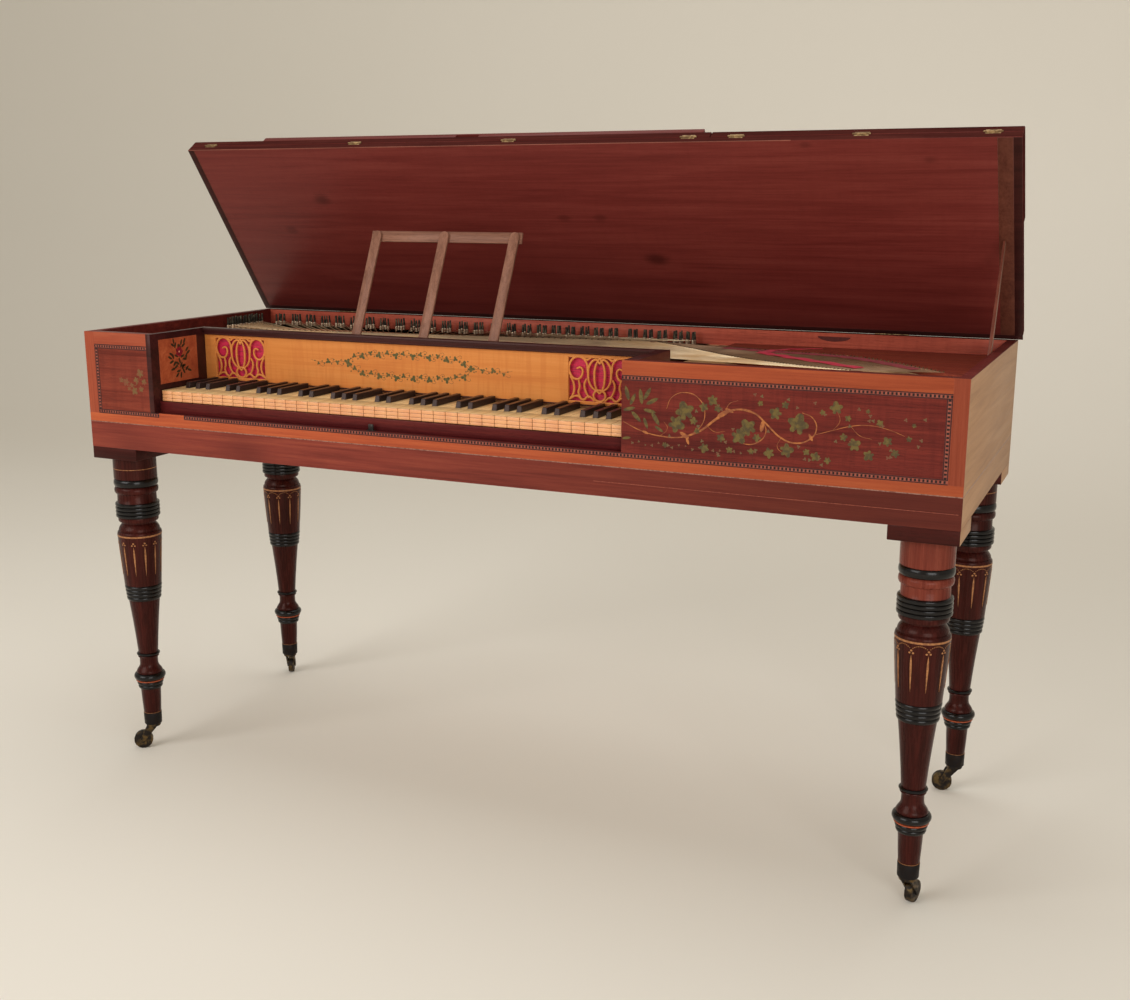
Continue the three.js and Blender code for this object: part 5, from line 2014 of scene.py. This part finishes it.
    def on_drum(self, turn: float, depth: float, size: float = 1.0) -> Matrix:
        """Gives the place of a flat painted piece on the drum, leaning with its cone.

        Args:
            turn: The angle round the leg, from its front.
            depth: Millimetres under the block.
            size: The piece's scale, on top of millimetres.

        Returns:
            A matrix that takes the flat piece there.
        """
        narrowing, rise = self.drum_wide - self.drum_narrow, self.drum_foot - self.drum_top
        radius = self.drum_wide - narrowing * (depth - self.drum_top) / rise
        slope = math.atan2(narrowing, rise)
        side = Vector((math.sin(turn), -math.cos(turn), 0))
        up = side * math.sin(slope) + UP * math.cos(slope)
        across = Vector((math.cos(turn), math.sin(turn), 0))
        spot = side * radius * MM + UP * (self.length - depth) * MM
        axes = Matrix((across, up, across.cross(up))).transposed().to_4x4()
        return Matrix.Translation(spot) @ axes @ Matrix.Scale(MM, 4) @ Matrix.Scale(size, 4)

    def darts(self, name: str, place: Matrix) -> None:
        """Paints gold darts with three-lobed finials round the drum, and arched swags on every leg but the
        front left.

        Args:
            name: The leg's name.
            place: Where the leg stands.
        """
        count = 12 if name == "front_left" else 10
        darts, dots, swags = [], [], []
        for index in range(count):
            turn = math.radians(self.phase) + math.tau * index / count
            darts.append(place @ self.on_drum(turn, 204) @ Matrix.Diagonal((6.4, -60, 4, 1)))
            dots.append(place @ self.on_drum(turn, 167.6, 4.0))
            dots += [place @ self.on_drum(turn + hand * 0.07, 171.4, 3.6) for hand in (-1, 1)]
            for step in range(1, 10):
                rise = 167 - 7.5 * math.sin(math.pi * step / 10) ** 0.7
                swags.append(place @ self.on_drum(turn + math.tau / count * step / 10, rise, 1.7))
        wedge = lobed((1.0, 0.9, 0.7, 0.62, 0.7, 0.8, 1.0, 0.8, 0.7, 0.62, 0.7, 0.9), 1.0, 0.3)
        for corner in wedge.data.vertices:
            corner.co.x *= 0.12 + 0.88 * min(1.0, 0.62 - corner.co.y)
        dress(copies(f"darts_{name}", wedge, darts), GILT)
        dress(copies(f"finials_{name}", lobed(ROUND_LEAF, 1.0, 0.3), dots), GILT)
        if name != "front_left":
            dress(copies(f"swags_{name}", lobed(ROUND_LEAF, 1.0, 0.6), swags), GILT)


@dataclass
class Lid:
    """The raised lid with its folded front flaps, the fall and their hinges."""

    pivot: tuple[float, float, float] = (0, 0.283, 0.851)
    lean: float = -55.4
    edge: float = 1.6
    clamp: Point = (1580, 1604)
    ends: Point = (-7.5, 1617.5)
    split: float = 1105.0
    fold: float = -405.6
    knuckle: float = 7.7
    fold_hinges: tuple[float, ...] = (42, 387, 719, 1066, 1152, 1365, 1572)

    @property
    def place(self) -> Matrix:
        """Gives the lid's own frame."""
        return Matrix.Translation(self.pivot) @ Matrix.Rotation(math.radians(self.lean), 4, "X")

    def build(self) -> None:
        """Builds the lid, flaps, fall and hinges."""
        ahead = self.place.to_3x3() @ Vector((0, -1, 0))
        for body in ("main", "flap_left", "flap_right"):
            board = dress_node(f"lid_{body}", self.edge, LID_WOOD, "lid" if body == "main" else body)
            veneer(board, LID_EDGE, lambda middle, normal: normal.dot(ahead) > 0.75 or abs(normal.x) > 0.75)
        dress_node("keyboard_fall", 1.0, LID_WOOD, "fall")
        lid = frame["bodies"]["lid"]
        for node in ("lid_hinge_left", "lid_hinge_right"):
            dress_node(node, 0.4, OLD_BRASS, "lid" if frame["nodes"][node].parent == lid else "case")
        self.strips()
        self.hinges()

    def strips(self) -> None:
        """Glues the clamp, borders and heel on the main board, and lays a pale strip on its front arris as a
        painted highlight.
        """
        depth, out = (-404, -5), (-7.8, -7.2)
        left, right = self.ends
        self.batten("lid_clamp", self.clamp, depth, out, CLAMP_WOOD)
        self.batten("lid_border_left", (left, 6), depth, out, LID_BORDER)
        self.batten("lid_line_left", (6.2, 7.6), depth, (-7.7, -7.2), CLAMP_WOOD)
        self.batten("lid_border_right", (self.clamp[1] + 0.2, right), depth, out, LID_BORDER)
        # Painted highlight along the lit front arris.
        self.batten("lid_arris_highlight", (left, 1250), (-405.4, -404.0), (-7.7, -6.4), ARRIS_HIGHLIGHT)
        self.batten("lid_heel", self.ends, (-4.6, 4.5), (-7.4, -5.2), LID_BORDER)

    def batten(
        self, name: str, across: Point, along: Point, out: Point, finish: Finish, body: str = "lid"
    ) -> None:
        """Fixes a strip on the lid or a flap, by its extents in the lid's own millimetres.

        Args:
            name: The strip's name.
            across: Its ends from left to right.
            along: Its ends from the hinge.
            out: Its ends through the board's thickness.
            finish: Its finish.
            body: The body that it rides on.
        """
        least = min(end - start for start, end in (across, along, out))
        strip = plate(name, Box(*across, *along, *out), min(0.4, least / 3))
        moved(strip, Matrix.Translation((0, -CASE_CORNER.y, 0)))
        dress(moved(strip, self.place), finish, body)

    def hinges(self) -> None:
        """Screws small brass hinges along the fold."""
        turn = Matrix.Rotation(math.radians(90), 4, "Y")
        for index, x in enumerate(self.fold_hinges):
            knuckle = turned("knuckle", [(1.3, -15), (1.7, -14.4), (1.7, 14.4), (1.3, 15)], 12)
            spot = (CASE_CORNER.x + x * MM, self.fold * MM, self.knuckle * MM)
            moved(knuckle, self.place @ Matrix.Translation(spot) @ turn)
            dress(named(knuckle, f"fold_hinge_{index}"), OLD_BRASS, "lid")
            flap = "flap_left" if x < self.split else "flap_right"
            for side, body, span in (("lid", "lid", (2.2, 7.0)), ("flap", flap, (8.4, 13.4))):
                depth = (self.fold + 0.18, self.fold + 0.5)
                self.batten(f"fold_leaf_{side}_{index}", (x - 12, x + 12), depth, span, OLD_BRASS, body)


@dataclass
class MusicDesk:
    """Three upright strips pinned to the batten, and the rail across their heads."""

    places: tuple[tuple[str, str], ...] = (
        ("desk_upright_1", "desk_upright_first"),
        ("desk_upright_2", "desk_upright_second"),
        ("desk_upright_3", "desk_upright_third"),
    )

    def build(self) -> None:
        """Builds the uprights and the rail."""
        for node, body in self.places:
            dress_node(node, 0.8, DESK_WOOD, body)
        dress_node("desk_rail", 0.8, RAIL_WOOD, "desk_rail")


@dataclass
class PropStick:
    """The stick that holds the lid up, on its screw at the right end."""

    taper: float = 0.4

    def build(self) -> None:
        """Builds the stick, tapered towards its top."""
        stick = refined("prop_stick", 1.2)
        low, high = (corner.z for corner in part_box("prop_stick"))
        corners = stick.data.vertices
        level = sum(corner.co.x for corner in corners) / len(corners)
        for corner in corners:
            share = (corner.co.z - low) / (high - low)
            corner.co.x = level + (corner.co.x - level) * (1 - self.taper * share)
        dress(stick, STICK_WOOD, "prop_stick", ["prop_stick"])
        veneer(stick, DESK_WOOD, lambda middle, normal: normal.x > 0.7)


@dataclass
class Studio:
    """A plain pale room with soft light, and the camera of the photograph."""

    eye: tuple[float, float, float] = (1.061, -2.2015, 1.0926)
    aim: tuple[float, float, float] = (0, 0, 0.7)
    tilt: float = 77.151
    heading: float = 24.563
    lens: float = 42.68
    sensor: float = 36.0
    back: float = 2.4
    curve: float = 1.6
    sky: float = 0.5

    def build(self) -> None:
        """Builds the floor, the light and the camera."""
        self.room()
        self.lamp("key", (-2.0, -3.5, 2.5), 2.6, 78)
        self.lamp("fill", (2.6, -3.4, 1.5), 2.2, 60)
        self.lamp("top", (0.0, 0.6, 3.6), 3.2, 35)
        self.camera()

    def room(self) -> None:
        """Lays a pale floor that curves up into a pale wall."""
        room = primitive("grid", "room", x_subdivisions=4, y_subdivisions=40, size=12)
        for corner in room.data.vertices:
            past = max(0.0, corner.co.y - self.back)
            bend = min(past / self.curve, math.pi / 2)
            rise = max(0.0, past - self.curve * math.pi / 2)
            y = min(corner.co.y, self.back) + self.curve * math.sin(bend)
            corner.co = (corner.co.x, y, self.curve * (1 - math.cos(bend)) + rise)
        eased(room, 0, smooth=60)
        shader = Shader("pale room")
        spread = shader.noise(0.6, 2)
        tone = shader.mix(spread, ROOM_LIGHT, ROOM_SHADE)
        room.data.materials.append(shader.finish(Base_Color=tone, Roughness=0.9 + (spread - 0.5) * 0.1))
        world = bpy.data.worlds.new("studio")
        bpy.context.scene.world = world
        world.use_nodes = True
        sky = world.node_tree.nodes["Background"]
        sky.inputs["Color"].default_value = (*SKY, 1)
        sky.inputs["Strength"].default_value = self.sky

    def lamp(self, name: str, place: tuple[float, float, float], size: float, power: float) -> None:
        """Hangs one soft square lamp, aimed at the piano.

        Args:
            name: The lamp's name.
            place: Where it hangs, in metres.
            size: Its side in metres.
            power: Its power in watts.
        """
        light = bpy.data.lights.new(name, "AREA")
        light.size, light.energy = size, power
        lamp = linked(name, light)
        lamp.location = place
        lamp.rotation_euler = (Vector(self.aim) - Vector(place)).to_track_quat("-Z", "Y").to_euler()

    def camera(self) -> None:
        """Sets the camera where the photograph was taken."""
        data = bpy.data.cameras.new("camera")
        data.lens, data.sensor_width = self.lens, self.sensor
        camera = linked("camera", data)
        camera.location = self.eye
        camera.rotation_euler = (math.radians(self.tilt), 0, math.radians(self.heading))
        bpy.context.scene.camera = camera
        bpy.context.scene.view_settings.view_transform = "Standard"


def main() -> None:
    """Builds the piano and its room."""
    logging.basicConfig(level=logging.INFO, format="%(message)s")
    for group in (Casework(), Keywell(), Keyboard(), Interior(), Stand(), Lid(), MusicDesk(), PropStick()):
        log.info("building %s", type(group).__name__)
        group.build()
    Studio().build()
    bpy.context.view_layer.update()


if __name__ == "__main__":
    main()
